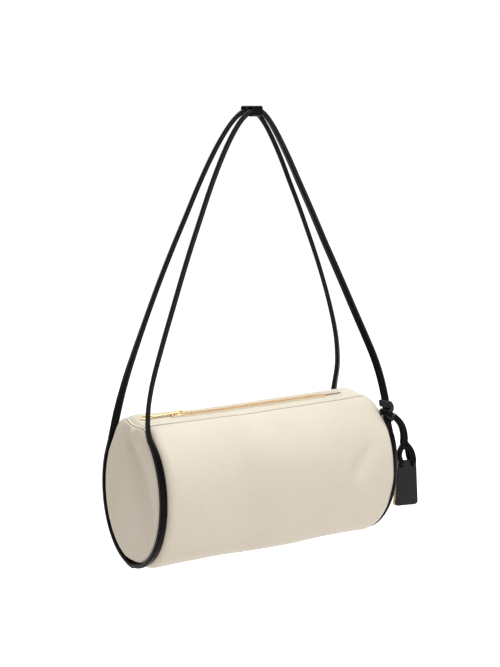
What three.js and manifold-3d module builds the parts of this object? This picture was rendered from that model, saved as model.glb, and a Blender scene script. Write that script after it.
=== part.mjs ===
// A soft leather shoulder bag: a lying barrel with a zipped top, carried by two slim
// straps that edge its round ends and meet in one leather keeper. Millimetres, +Z up.
// X runs along the barrel, -Y is the front. The origin is under the keeper, where a
// hook or a shoulder carries the bag; inside the assembly Z counts from the barrel's axis.
import * as THREE from 'three';
import { mergeVertices } from 'three/addons/utils/BufferGeometryUtils.js';
import Module from 'manifold-3d';

const wasm = await Module();
wasm.setup();

// Barrel
const BAG_LENGTH = 276;
const BODY_WIDTH = 124;
const BODY_HEIGHT = 148;
const LEFT_END_WIDTH = 104;
const LEFT_END_HEIGHT = 134;
const RIGHT_END_WIDTH = 114;
const RIGHT_END_HEIGHT = 135;
const SWELL_LENGTH = 20;
const SWELL_POWER = 2.2;
const BASE_FLAT_DEPTH = 1.5;
const END_DISH_DEPTH = 3;

// Top panel between the two long seams
const TOP_WIDTH = 40;
const TOP_RISE = 4;
const END_TOP_RISE = 2.5;

// Leather, lining and the gaps between neighbouring pieces
const WRAP_LEATHER = 2.2;
const PANEL_LEATHER = 2;
const STRIP_LEATHER = 1.8;
const LINING_CLOTH = 0.8;
const SEAM_GAP = 0.4;

// Straps
const STRAP_WIDTH = 7.2;
const STRAP_THICKNESS = 4;
const STRAP_EDGE_ROUND = 1.1;
const STRAP_TOP_HEIGHT = 360;
const STRAP_MIDDLE_SPREAD = 10.6;
const STRAP_INSET = 1;
const STRAP_BEND_HEIGHT = 60;
const STRAP_LIFT_LENGTH = 8;
const STRAP_BEND_LENGTH = 42;
const STRAP_TWIST_ANGLE = 65;
const STRAND_FOOT_HEIGHT = 58;

// How each strand hangs: its shoulder at the keeper, its straight run at the foot, how far
// from the middle it is drawn there, and the angle from the top where it leaves the end
const LEFT_SHOULDER_LENGTH = 42;
const RIGHT_SHOULDER_LENGTH = 29;
const LEFT_RUN_LENGTH = 58;
const RIGHT_RUN_LENGTH = 60;
const LEFT_FRONT_DRAW_OFFSET = 38;
const LEFT_FRONT_FOOT_OFFSET = 19;
const LEFT_FRONT_LEAVE_ANGLE = 36;
const LEFT_REAR_DRAW_OFFSET = 10;
const LEFT_REAR_FOOT_OFFSET = 38;
const LEFT_REAR_LEAVE_ANGLE = 54;
const RIGHT_FRONT_DRAW_OFFSET = 11.5;
const RIGHT_FRONT_FOOT_OFFSET = 48;
const RIGHT_FRONT_LEAVE_ANGLE = 61;
const RIGHT_REAR_DRAW_OFFSET = 5;
const RIGHT_REAR_FOOT_OFFSET = 51;
const RIGHT_REAR_LEAVE_ANGLE = 57;

// Keeper
const KEEPER_LENGTH = 11.5;
const KEEPER_LEATHER = 1.4;
const KEEPER_CLEARANCE = 0.45;
const KEEPER_SLACK_GAP = 0.5;

// Zip
const ZIP_LEFT_INSET = 44;
const ZIP_RIGHT_INSET = 28;
const ZIP_PARKING_MARGIN = 2.8;
const ZIP_WINDOW_CLEARANCE = 1;
const TAPE_CLOTH = 0.8;
const TAPE_OUTER_WIDTH = 28;
const TOOTH_PITCH = 2.8;
const TOOTH_LENGTH = 0.95;
const TOOTH_OVERLAP_LENGTH = 0.7;
const TOOTH_ROOT = 2.9;
const TOOTH_SPINE = 1.3;
const TOOTH_HEIGHT = 2.4;
const SLIDER_LENGTH = 11;
const SLIDER_WIDTH = 9;
const SLIDER_PLATE = 1.3;
const SLIDER_POST = 1.8;
const SLIDER_CLEARANCE = 0.4;
const STOP_LENGTH = 2.4;
const STOP_WIDTH = 2;
const STOP_HEIGHT = 1.6;
const ARCH_WIDTH = 3;
const ARCH_WALL = 1;
const PULL_LENGTH = 43;
const PULL_WIDTH = 4.4;
const PULL_THICKNESS = 1.8;
const PULL_LOOP_LENGTH = 15;
const PULL_LOOP_WIDTH = 8.4;
const PULL_LOOP_RIM = 2;
const PULL_PIN = 1.6;
const PULL_ARM = 1.2;
const PULL_CLEARANCE = 0.4;

// Tag and its lace
const TAG_WIDTH = 22;
const TAG_HEIGHT = 46;
const TAG_LEATHER = 1.5;
const TAG_CORNER = 3;
const TAG_TURN_ANGLE = -0.2;
const TAG_OFFSET_FROM_END = 25;
const TAG_DROP_LENGTH = 53;
const TAG_HOLE = 5;
const TAG_HOLE_FROM_TOP = 4.8;
const TAG_HOLE_SPACING = 13;
const LACE = 3.4;
const LACE_GAP = 0.9;
const LACE_LEG_GAP = 1.6;
const KNOT_TURNS = 2;
const KNOT_CLEARANCE = 0.7;
const KNOT_BODY_GAP = 0.5;
const KNOT_SEARCH_STEP = 0.25;
const LACE_SWING_GAP = 1.6;
const LACE_FORK_HEIGHT = 17;
const LACE_FORK_INSET = 4;
const LACE_DROP_LENGTH = 3.4;
const LACE_BOW_WIDTH = 2;
const LACE_EYE_LOOP_HEIGHT = 4;

// How finely the curved pieces are cut
const SECTION_STEPS = 30;
const LINING_STEPS = 16;
const TOP_STEPS = 6;
const STRAND_STEPS = 36;
const SEWN_STEPS = 18;
const BEND_STEPS = 10;
const LACE_SIDES = 8;
const LACE_STEPS = 18;
const KNOT_TURN_STEPS = 16;

// Finishes
const finish = (color, roughness, metalness = 0) =>
  new THREE.MeshStandardMaterial({ color, roughness, metalness });
const creamLeather = finish(0xe6dfd0, 0.5);
const blackLeather = finish(0x242326, 0.45);
const tanLeather = finish(0xd9c9ab, 0.6);
const liningCloth = finish(0xb9ab94, 0.9);
const tapeCloth = finish(0xe3dccb, 0.85);
const brass = finish(0xd9b878, 0.3, 1);

const { sin, cos, sqrt, asin, PI } = Math;
const vec = (x, y, z) => new THREE.Vector3(x, y, z);
const LEFT = -1;
const RIGHT = 1;
const FRONT = -1;
const REAR = 1;
const halfLength = BAG_LENGTH / 2;
const topHalf = TOP_WIDTH / 2;
const bandWidth = STRAP_WIDTH + 2 * SEAM_GAP;
const innerEnd = halfLength - PANEL_LEATHER - SEAM_GAP;

const object = new THREE.Group();
const assembly = new THREE.Group();
object.add(assembly);

function place(name, geometry, material, parent = assembly) {
  geometry.computeVertexNormals();
  const mesh = new THREE.Mesh(geometry, material);
  mesh.name = name;
  parent.add(mesh);
  return mesh;
}

// Solid helpers

function flat(ring) {
  // A ring's points in its own plane, from its first corner's directions.
  const normal = vec(0, 0, 0);
  ring.forEach((p, i) => {
    const q = ring[(i + 1) % ring.length];
    normal.add(p.clone().sub(ring[0]).cross(q.clone().sub(ring[0])));
  });
  normal.normalize();
  const across = ring[1].clone().sub(ring[0]);
  across.addScaledVector(normal, -across.dot(normal)).normalize();
  const along = normal.clone().cross(across);
  return ring.map((p) => new THREE.Vector2(p.dot(across), p.dot(along)));
}

function loft(rings) {
  // One closed body through rings of equally many points, with a cap at each end.
  const count = rings[0].length;
  const index = [];
  for (let j = 0; j + 1 < rings.length; j += 1) {
    for (let i = 0; i < count; i += 1) {
      const a = j * count + i;
      const b = j * count + ((i + 1) % count);
      index.push(a, b, b + count, a, b + count, a + count);
    }
  }
  for (const j of [0, rings.length - 1]) {
    const contour = flat(rings[j]);
    const forward = THREE.ShapeUtils.area(contour) > 0;
    for (const [a, b, c] of THREE.ShapeUtils.triangulateShape(contour, [])) {
      const turn = THREE.ShapeUtils.area([contour[a], contour[b], contour[c]]) > 0;
      const keep = (turn === forward) === (j > 0);
      index.push(j * count + a, j * count + (keep ? b : c), j * count + (keep ? c : b));
    }
  }
  return facingOut(rings.flat(), index);
}

function facingOut(points, index) {
  let volume = 0;
  for (let k = 0; k < index.length; k += 3) {
    const [a, b, c] = [points[index[k]], points[index[k + 1]], points[index[k + 2]]];
    volume += a.dot(b.clone().cross(c));
  }
  const geometry = new THREE.BufferGeometry().setFromPoints(points);
  geometry.setIndex(volume > 0 ? index : index.slice().reverse());
  return geometry;
}

function solid(geometry) {
  const bare = geometry.clone();
  bare.deleteAttribute('normal');
  bare.deleteAttribute('uv');
  const merged = mergeVertices(bare, 1e-4);
  return new wasm.Manifold(new wasm.Mesh({
    numProp: 3,
    vertProperties: new Float32Array(merged.attributes.position.array),
    triVerts: new Uint32Array(merged.index.array),
  }));
}

function meshed(manifold) {
  const mesh = manifold.getMesh();
  const geometry = new THREE.BufferGeometry();
  geometry.setAttribute('position', new THREE.BufferAttribute(mesh.vertProperties, 3));
  geometry.setIndex(new THREE.BufferAttribute(mesh.triVerts, 1));
  return geometry;
}

function block(x0, x1, y0, y1, z0, z1) {
  const box = new THREE.BoxGeometry(x1 - x0, y1 - y0, z1 - z0);
  return box.translate((x0 + x1) / 2, (y0 + y1) / 2, (z0 + z1) / 2);
}

function plate(shape, depth) {
  return new THREE.ExtrudeGeometry(shape, { depth, bevelEnabled: false, curveSegments: 6 });
}

// The barrel's outline at any place along it

const ends = {
  [LEFT]: { ry: LEFT_END_WIDTH / 2, rz: LEFT_END_HEIGHT / 2 },
  [RIGHT]: { ry: RIGHT_END_WIDTH / 2, rz: RIGHT_END_HEIGHT / 2 },
};

function outline(x) {
  const end = ends[x < 0 ? LEFT : RIGHT];
  const inward = (halfLength - bandWidth - Math.abs(x)) / SWELL_LENGTH;
  const share = THREE.MathUtils.clamp(inward, 0, 1);
  const swell = sqrt(1 - (1 - share) ** SWELL_POWER);
  const ry = THREE.MathUtils.lerp(end.ry, BODY_WIDTH / 2, swell);
  const rz = THREE.MathUtils.lerp(end.rz, BODY_HEIGHT / 2, swell);
  const rise = THREE.MathUtils.lerp(END_TOP_RISE, TOP_RISE, swell);
  return { ry, rz, rise, base: rz - BASE_FLAT_DEPTH * swell };
}

function seamAngle(ry) {
  return PI - asin(topHalf / ry);
}

function underside(x, inset, steps) {
  // Points from the front top seam round the bottom to the rear top seam.
  const { ry, rz, base } = outline(x);
  const top = seamAngle(ry - inset);
  const points = [];
  for (let i = 0; i <= steps; i += 1) {
    const a = top * (-1 + (2 * i) / steps);
    const z = Math.max(-(rz - inset) * cos(a), inset - base);
    points.push(vec(x, (ry - inset) * sin(a), z));
  }
  return points;
}

function topHeight(x, y) {
  const { ry, rz, rise } = outline(x);
  return -rz * cos(seamAngle(ry)) + rise * (1 - (y / topHalf) ** 2);
}

function topStrip(x, y0, y1, drop, thickness) {
  // A closed section of the top panel from y0 to y1, drop below its outer surface.
  const upper = [];
  const lower = [];
  for (let i = 0; i <= TOP_STEPS; i += 1) {
    const y = y0 + ((y1 - y0) * i) / TOP_STEPS;
    upper.push(vec(x, y, topHeight(x, y) - drop));
    lower.unshift(vec(x, y, topHeight(x, y) - drop - thickness));
  }
  return [...upper, ...lower];
}

function stations(from, to) {
  // Places along the barrel where the loft needs a ring.
  const swellStart = halfLength - bandWidth;
  const shares = [0, 0.05, 0.2, 0.5, 1];
  const places = [0];
  for (const share of shares) {
    const x = swellStart - share * SWELL_LENGTH;
    places.push(-x, x);
  }
  const inside = places.filter((x) => x > from + SEAM_GAP && x < to - SEAM_GAP);
  return [from, ...inside.sort((a, b) => a - b), to];
}

// Barrel pieces

function barrelShell(inset, thickness, end, steps) {
  return loft(stations(-end, end).map((x) => [
    ...underside(x, inset, steps),
    ...underside(x, inset + thickness, steps).reverse(),
  ]));
}

function endOutline(x, inset, steps) {
  const round = underside(x, inset, steps);
  const top = [];
  for (let i = 1; i < TOP_STEPS; i += 1) {
    const y = topHalf * (1 - (2 * i) / TOP_STEPS);
    top.push(vec(x, y, topHeight(x, y) - inset));
  }
  return [...round, ...top];
}

function dishedPanel(side, faceX, inset, thickness, steps) {
  // A plate whose middle is drawn inwards; faceX is its outer face at the rim.
  const rim = endOutline(side * faceX, inset, steps);
  const ring = (share, depth) => rim.map((p) => vec(
    side * (faceX - depth - END_DISH_DEPTH * (1 - share ** 2)), p.y * share, p.z * share));
  const shares = [0.12, 0.6, 1];
  const inner = shares.map((share) => ring(share, thickness));
  const outer = shares.map((share) => ring(share, 0)).reverse();
  return loft([...inner, ...outer]);
}

const liningInset = WRAP_LEATHER + SEAM_GAP;
const liningEnd = innerEnd - SEAM_GAP - LINING_CLOTH - SEAM_GAP;
place('body_wrap', barrelShell(0, WRAP_LEATHER, innerEnd, SECTION_STEPS), creamLeather);
place('lining_wrap',
  barrelShell(liningInset, LINING_CLOTH, liningEnd, LINING_STEPS), liningCloth);
for (const [side, word] of [[LEFT, 'left'], [RIGHT, 'right']]) {
  const panel = dishedPanel(side, halfLength, 0, PANEL_LEATHER, SECTION_STEPS);
  const cloth = dishedPanel(
    side, innerEnd - SEAM_GAP, liningInset, LINING_CLOTH, LINING_STEPS);
  place(`end_panel_${word}`, panel, creamLeather);
  place(`lining_end_${word}`, cloth, liningCloth);
}

// Top panel and zip

const zipStart = -halfLength + ZIP_LEFT_INSET;
const zipEnd = halfLength - ZIP_RIGHT_INSET;
const tapeMargin = STOP_LENGTH + 2 * SEAM_GAP;
const parking = tapeMargin + SLIDER_LENGTH + ZIP_PARKING_MARGIN;
const flapStart = zipStart + parking;
const flapEnd = zipEnd - parking;
const windowHalf = SLIDER_WIDTH / 2 + ZIP_WINDOW_CLEARANCE;
const stripEdge = topHalf - SEAM_GAP;
const tapeDrop = STRIP_LEATHER + SEAM_GAP;
const tapeEdge = TOOTH_ROOT + SEAM_GAP;
const tapeOuter = TAPE_OUTER_WIDTH / 2;
const tapeTop = topHeight(0, tapeEdge) - tapeDrop;
const zipHeight = tapeTop - TAPE_CLOTH / 2;
const slotHalf = SLIDER_POST / 2 + SLIDER_CLEARANCE;

function topEnd(from, to, slotFrom, slotTo) {
  const whole = loft(stations(from, to).map((x) =>
    topStrip(x, -stripEdge, stripEdge, 0, STRIP_LEATHER)));
  const slot = block(slotFrom, slotTo, -windowHalf, windowHalf, 0, BODY_HEIGHT);
  return meshed(solid(whole).subtract(solid(slot)));
}

function tapeEnd(from, to, slotFrom, slotTo) {
  const whole = loft([from, to].map((x) =>
    topStrip(x, -tapeOuter, tapeOuter, tapeDrop, TAPE_CLOTH)));
  const slot = block(slotFrom, slotTo, -slotHalf, slotHalf, 0, BODY_HEIGHT);
  return meshed(solid(whole).subtract(solid(slot)));
}

const leftEdge = flapStart - SEAM_GAP;
const rightEdge = flapEnd + SEAM_GAP;
place('top_end_left', topEnd(-innerEnd, leftEdge, zipStart, flapStart + parking), creamLeather);
place('top_end_right', topEnd(rightEdge, innerEnd, flapEnd - parking, zipEnd), creamLeather);
const parkedSlot = zipStart + tapeMargin;
place('zip_tape_left_end', tapeEnd(zipStart, leftEdge, parkedSlot, flapStart + parking), tapeCloth);
place('zip_tape_right_end',
  tapeEnd(rightEdge, zipEnd, flapEnd - parking, zipEnd - tapeMargin), tapeCloth);

function comb(face) {
  // One row of teeth on its spine; the rear row stands half a pitch along.
  const span = flapEnd - flapStart;
  const teeth = Math.floor((span - TOOTH_PITCH) / TOOTH_PITCH);
  const offset = face === FRONT ? 0 : TOOTH_PITCH / 2;
  const spine = -TOOTH_ROOT + TOOTH_SPINE;
  const shape = new THREE.Shape();
  shape.moveTo(flapStart, -TOOTH_ROOT);
  shape.lineTo(flapEnd, -TOOTH_ROOT);
  shape.lineTo(flapEnd, spine);
  for (let i = teeth - 1; i >= 0; i -= 1) {
    const x = flapStart + TOOTH_PITCH / 2 + i * TOOTH_PITCH + offset;
    shape.lineTo(x + TOOTH_LENGTH, spine);
    shape.lineTo(x + TOOTH_LENGTH, TOOTH_OVERLAP_LENGTH);
    shape.lineTo(x, TOOTH_OVERLAP_LENGTH);
    shape.lineTo(x, spine);
  }
  shape.lineTo(flapStart, spine);
  const row = plate(shape, TOOTH_HEIGHT).translate(0, 0, zipHeight - TOOTH_HEIGHT / 2);
  if (face === REAR) {
    // Turned half round about X and put back at the same height, so no face is mirrored.
    row.rotateX(PI).translate(0, 0, 2 * zipHeight);
  }
  return row;
}

for (const [face, word] of [[FRONT, 'front'], [REAR, 'rear']]) {
  const ordered = (a, b) => (face === FRONT ? [-a, -b] : [b, a]);
  const [s0, s1] = ordered(stripEdge, windowHalf);
  const [t0, t1] = ordered(tapeOuter, tapeEdge);
  const strip = loft([flapStart, flapEnd].map((x) => topStrip(x, s0, s1, 0, STRIP_LEATHER)));
  const tape = loft([flapStart, flapEnd].map((x) => topStrip(x, t0, t1, tapeDrop, TAPE_CLOTH)));
  place(`top_strip_${word}`, strip, creamLeather);
  place(`zip_tape_${word}`, tape, tapeCloth);
  place(`zip_teeth_${word}`, comb(face), brass);
  const inner = slotHalf + SEAM_GAP;
  const [p0, p1] = ordered(inner + STOP_WIDTH, inner);
  const stopBase = tapeTop + SEAM_GAP;
  const stopFrom = zipStart + SEAM_GAP;
  const stop = block(stopFrom, stopFrom + STOP_LENGTH, p0, p1, stopBase, stopBase + STOP_HEIGHT);
  place(`zip_top_stop_${word}`, stop, brass);
}
const bottomStopEnd = zipEnd - SEAM_GAP;
const bottomStopHalf = slotHalf + SEAM_GAP + STOP_WIDTH;
const bottomStopBase = topHeight(0, 0) - tapeDrop + SEAM_GAP;
place('zip_bottom_stop', block(
  bottomStopEnd - STOP_LENGTH, bottomStopEnd, -bottomStopHalf, bottomStopHalf,
  bottomStopBase, bottomStopBase + STOP_HEIGHT), brass);

// Slider, with the arch that holds the pull

const sliderX = (parkedSlot + flapStart) / 2;
const plateBase = zipHeight + TOOTH_HEIGHT / 2 + SLIDER_CLEARANCE;
const plateTop = plateBase + SLIDER_PLATE;
const lowPlateTop = zipHeight - TOOTH_HEIGHT / 2 - SLIDER_CLEARANCE;
const sliderHalf = SLIDER_LENGTH / 2;
const pinSweep = sqrt(PULL_PIN ** 2 + PULL_THICKNESS ** 2) / 2 + PULL_CLEARANCE / 2;
const pinHeight = plateTop + pinSweep;

function zipSlider() {
  const y = SLIDER_WIDTH / 2;
  const sunk = SLIDER_PLATE / 2;
  const x0 = sliderX - sliderHalf;
  const x1 = sliderX + sliderHalf;
  const upper = solid(block(x0, x1, -y, y, plateBase, plateTop));
  const lower = solid(block(x0, x1, -y, y, lowPlateTop - SLIDER_PLATE, lowPlateTop));
  const postEnd = x0 + SLIDER_POST;
  const half = SLIDER_POST / 2;
  const post = solid(block(x0, postEnd, -half, half, lowPlateTop - sunk, plateBase + sunk));
  const arch = new THREE.Shape();
  const outer = pinSweep + ARCH_WALL;
  arch.moveTo(-outer, -sunk);
  arch.lineTo(-pinSweep, -sunk);
  arch.lineTo(-pinSweep, 2 * pinSweep);
  arch.lineTo(pinSweep, 2 * pinSweep);
  arch.lineTo(pinSweep, -sunk);
  arch.lineTo(outer, -sunk);
  arch.lineTo(outer, 2 * pinSweep + ARCH_WALL);
  arch.lineTo(-outer, 2 * pinSweep + ARCH_WALL);
  const bridge = plate(arch, ARCH_WIDTH).rotateX(PI / 2);
  bridge.translate(sliderX, ARCH_WIDTH / 2, plateTop);
  return meshed(upper.add(lower).add(post).add(solid(bridge)));
}
place('zip_slider', zipSlider(), brass);

function zipPull() {
  // Drawn with its pin at the origin and its loop towards -X.
  const pin = PULL_PIN / 2;
  const armInner = ARCH_WIDTH / 2 + PULL_CLEARANCE;
  const armOuter = armInner + PULL_ARM;
  const shoulder = pinSweep + ARCH_WALL + pinSweep + PULL_CLEARANCE;
  const half = PULL_WIDTH / 2;
  const loopX = -PULL_LENGTH + PULL_LOOP_LENGTH / 2;
  const rx = PULL_LOOP_LENGTH / 2;
  const ry = PULL_LOOP_WIDTH / 2;
  const neck = asin(half / ry);
  const shape = new THREE.Shape();
  shape.moveTo(pin, -armOuter);
  shape.lineTo(pin, armOuter);
  shape.lineTo(-shoulder, armOuter);
  shape.lineTo(-shoulder - PULL_ARM, half);
  shape.lineTo(loopX + rx * cos(neck), half);
  shape.absellipse(loopX, 0, rx, ry, neck, 2 * PI - neck, false, 0);
  shape.lineTo(-shoulder - PULL_ARM, -half);
  shape.lineTo(-shoulder, -armOuter);
  const eye = new THREE.Path();
  eye.moveTo(-pin, -armInner);
  eye.lineTo(-pin, armInner);
  eye.lineTo(-shoulder, armInner);
  eye.lineTo(-shoulder, -armInner);
  const loop = new THREE.Path();
  loop.absellipse(loopX, 0, rx - PULL_LOOP_RIM, ry - PULL_LOOP_RIM, 0, 2 * PI, true, 0);
  shape.holes.push(eye, loop);
  return plate(shape, PULL_THICKNESS).translate(sliderX, 0, pinHeight - PULL_THICKNESS / 2);
}
place('zip_pull', zipPull(), brass);

// Straps

function strapSection(centre, width, thick) {
  // Eight points of a band with eased edges.
  const a = STRAP_WIDTH / 2;
  const b = STRAP_THICKNESS / 2;
  const e = STRAP_EDGE_ROUND;
  const corners = [[a, b - e], [a - e, b], [e - a, b], [-a, b - e],
    [-a, e - b], [e - a, -b], [a - e, -b], [a, e - b]];
  return corners.map(([u, v]) => centre.clone().addScaledVector(width, u).addScaledVector(thick, v));
}

function band(points, tangents, widths) {
  return loft(points.map((p, i) => {
    const along = tangents[i].clone().normalize();
    const across = widths[i].clone();
    across.addScaledVector(along, -across.dot(along)).normalize();
    return strapSection(p, across, along.clone().cross(across));
  }));
}

const shoulder = { [LEFT]: LEFT_SHOULDER_LENGTH, [RIGHT]: RIGHT_SHOULDER_LENGTH };
const run = { [LEFT]: LEFT_RUN_LENGTH, [RIGHT]: RIGHT_RUN_LENGTH };
const hanging = (draw, foot, leave) => ({ draw, foot, leave });
const hang = {
  [LEFT]: {
    [FRONT]: hanging(LEFT_FRONT_DRAW_OFFSET, LEFT_FRONT_FOOT_OFFSET, LEFT_FRONT_LEAVE_ANGLE),
    [REAR]: hanging(LEFT_REAR_DRAW_OFFSET, LEFT_REAR_FOOT_OFFSET, LEFT_REAR_LEAVE_ANGLE),
  },
  [RIGHT]: {
    [FRONT]: hanging(RIGHT_FRONT_DRAW_OFFSET, RIGHT_FRONT_FOOT_OFFSET, RIGHT_FRONT_LEAVE_ANGLE),
    [REAR]: hanging(RIGHT_REAR_DRAW_OFFSET, RIGHT_REAR_FOOT_OFFSET, RIGHT_REAR_LEAVE_ANGLE),
  },
};
const edgeOffset = SEAM_GAP + STRAP_THICKNESS / 2;
const edgeX = halfLength - STRAP_WIDTH / 2;

function edgePlace(side, face, angle) {
  const ry = ends[side].ry + edgeOffset;
  const rz = ends[side].rz + edgeOffset;
  return {
    point: vec(side * edgeX, face * ry * sin(angle), -rz * cos(angle)),
    tangent: vec(0, face * ry * cos(angle), rz * sin(angle)),
  };
}

function leaveAngle(side, face) {
  return PI - THREE.MathUtils.degToRad(hang[side][face].leave);
}

function strand(side, face) {
  // From the keeper down to the strand's foot.
  const top = face * STRAP_MIDDLE_SPREAD / 2;
  const footX = side * (halfLength - STRAP_INSET);
  const { draw, foot } = hang[side][face];
  return new THREE.CubicBezierCurve3(
    vec(0, top, STRAP_TOP_HEIGHT),
    vec(side * shoulder[side], top, STRAP_TOP_HEIGHT),
    vec(footX, face * draw, STRAND_FOOT_HEIGHT + run[side]),
    vec(footX, face * foot, STRAND_FOOT_HEIGHT));
}

function atHeight(curve, z) {
  let low = 0;
  let high = 1;
  for (let i = 0; i < 40; i += 1) {
    const middle = (low + high) / 2;
    if (curve.getPoint(middle).z > z) low = middle;
    else high = middle;
  }
  return low;
}

const bendTop = STRAND_FOOT_HEIGHT + STRAP_BEND_HEIGHT;
const smooth = (t) => t * t * (3 - 2 * t);

function strandWidth(side, face, share) {
  // The band lies flat in the keeper and turns towards the end panel's edge.
  const turn = THREE.MathUtils.degToRad(STRAP_TWIST_ANGLE) * smooth(share);
  return vec(side * face * sin(turn), cos(turn), 0);
}

function freeStrap(face) {
  const points = [];
  const tangents = [];
  const widths = [];
  for (const side of [LEFT, RIGHT]) {
    const curve = strand(side, face);
    const last = atHeight(curve, bendTop + SEAM_GAP);
    const steps = STRAND_STEPS / 2;
    for (let k = 0; k <= steps; k += 1) {
      const i = side === LEFT ? steps - k : k;
      if (side === RIGHT && i === 0) continue;
      const share = i / steps;
      points.push(curve.getPoint(last * share));
      tangents.push(curve.getTangent(last * share).multiplyScalar(side));
      widths.push(strandWidth(side, face, share));
    }
  }
  return band(points, tangents, widths);
}

function sewnEdging(side, face) {
  const first = asin(SEAM_GAP / 2 / ends[side].ry);
  const last = leaveAngle(side, face);
  const points = [];
  const tangents = [];
  const widths = [];
  for (let i = 0; i <= SEWN_STEPS; i += 1) {
    const { point, tangent } = edgePlace(side, face, first + ((last - first) * i) / SEWN_STEPS);
    points.push(point);
    tangents.push(tangent);
    widths.push(vec(side * face, 0, 0));
  }
  return band(points, tangents, widths);
}

function bendCurve(side, face) {
  // Where the strap lifts off the end and turns up into its free strand.
  const from = edgePlace(side, face, leaveAngle(side, face));
  const out = from.tangent.clone().normalize();
  const start = from.point.clone().addScaledVector(out, SEAM_GAP);
  const curve = strand(side, face);
  const t = atHeight(curve, bendTop);
  const end = curve.getPoint(t);
  const up = curve.getTangent(t).negate();
  return new THREE.CubicBezierCurve3(
    start,
    start.clone().addScaledVector(out, STRAP_LIFT_LENGTH),
    end.clone().addScaledVector(up, -STRAP_BEND_LENGTH),
    end);
}

function bendWidth(side, face, share) {
  const low = vec(side * face, 0, 0);
  return low.lerp(strandWidth(side, face, 1), smooth(share));
}

function strapBend(side, face) {
  const curve = bendCurve(side, face);
  const points = [];
  const tangents = [];
  const widths = [];
  for (let i = 0; i <= BEND_STEPS; i += 1) {
    const share = i / BEND_STEPS;
    points.push(curve.getPoint(share));
    tangents.push(curve.getTangent(share));
    widths.push(bendWidth(side, face, share));
  }
  return band(points, tangents, widths);
}

for (const [face, word] of [[FRONT, 'front'], [REAR, 'rear']]) {
  place(`strap_${word}`, freeStrap(face), blackLeather);
  for (const [side, end] of [[LEFT, 'left'], [RIGHT, 'right']]) {
    place(`strap_edging_${end}_${word}`, sewnEdging(side, face), blackLeather);
    place(`strap_bend_${end}_${word}`, strapBend(side, face), blackLeather);
  }
}

// Keeper, a leather loop round both straps at the top

function dropAt(x, side) {
  const curve = strand(side, FRONT);
  let t = 0;
  while (Math.abs(curve.getPoint(t).x) < x) t += 0.002;
  return STRAP_TOP_HEIGHT - curve.getPoint(t).z;
}

const keeperHoleTop = STRAP_TOP_HEIGHT + STRAP_THICKNESS / 2 + KEEPER_CLEARANCE;
const keeperDrop = Math.max(dropAt(KEEPER_LENGTH / 2, LEFT), dropAt(KEEPER_LENGTH / 2, RIGHT));
const keeperHoleBase = STRAP_TOP_HEIGHT - STRAP_THICKNESS / 2 - KEEPER_CLEARANCE
  - keeperDrop - KEEPER_SLACK_GAP;
const keeperHoleHalf = STRAP_MIDDLE_SPREAD / 2 + STRAP_WIDTH / 2 + KEEPER_CLEARANCE;
const hangHeight = keeperHoleBase - KEEPER_LEATHER;

function keeper() {
  const half = keeperHoleHalf + KEEPER_LEATHER;
  const top = keeperHoleTop + KEEPER_LEATHER;
  const shape = new THREE.Shape();
  shape.moveTo(-half, hangHeight);
  shape.lineTo(half, hangHeight);
  shape.lineTo(half, top);
  shape.lineTo(-half, top);
  const hole = new THREE.Path();
  hole.moveTo(-keeperHoleHalf, keeperHoleBase);
  hole.lineTo(-keeperHoleHalf, keeperHoleTop);
  hole.lineTo(keeperHoleHalf, keeperHoleTop);
  hole.lineTo(keeperHoleHalf, keeperHoleBase);
  shape.holes.push(hole);
  // The drawn X and Y become Y and Z, and the depth runs along X.
  const turn = new THREE.Matrix4().makeBasis(vec(0, 1, 0), vec(0, 0, 1), vec(1, 0, 0));
  return plate(shape, KEEPER_LENGTH).applyMatrix4(turn).translate(-KEEPER_LENGTH / 2, 0, 0);
}
place('strap_keeper', keeper(), blackLeather);

// Tag: a lace wound on the right front strap, and two leather leaves hung on it

const laceStep = LACE + LACE_GAP;

function tube(points, steps) {
  const shape = new THREE.Shape();
  for (let i = 0; i < LACE_SIDES; i += 1) {
    const a = (2 * PI * i) / LACE_SIDES;
    const [x, y] = [(LACE / 2) * cos(a), (LACE / 2) * sin(a)];
    if (i === 0) shape.moveTo(x, y);
    else shape.lineTo(x, y);
  }
  const extrudePath = new THREE.CatmullRomCurve3(points, false, 'centripetal');
  return new THREE.ExtrudeGeometry(shape, { steps, extrudePath, bevelEnabled: false });
}

const knotPath = bendCurve(RIGHT, FRONT);
const knotRun = knotPath.getLength();
const knotWide = STRAP_WIDTH / 2 + KNOT_CLEARANCE + LACE / 2;
const knotThin = STRAP_THICKNESS / 2 + KNOT_CLEARANCE + LACE / 2;

function bodyDistance(point, reach) {
  // About how far a point is from the barrel's section that lies that reach inwards of it.
  const { ry, rz } = outline(Math.max(0, point.x - reach));
  return Math.hypot(point.y, point.z) * (1 - 1 / Math.hypot(point.y / ry, point.z / rz));
}

function knotHeight() {
  // The first place up the strap where the whole winding clears the barrel.
  const below = (KNOT_TURNS * laceStep) / 2 + LACE / 2;
  const reach = knotWide + LACE / 2;
  const depth = knotThin + LACE / 2;
  let middle = below;
  const gap = () => bodyDistance(knotPath.getPointAt((middle - below) / knotRun), reach) - depth;
  while (gap() < KNOT_BODY_GAP && middle + below < knotRun) middle += KNOT_SEARCH_STEP;
  return middle;
}

const knotMiddle = knotHeight();

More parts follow.
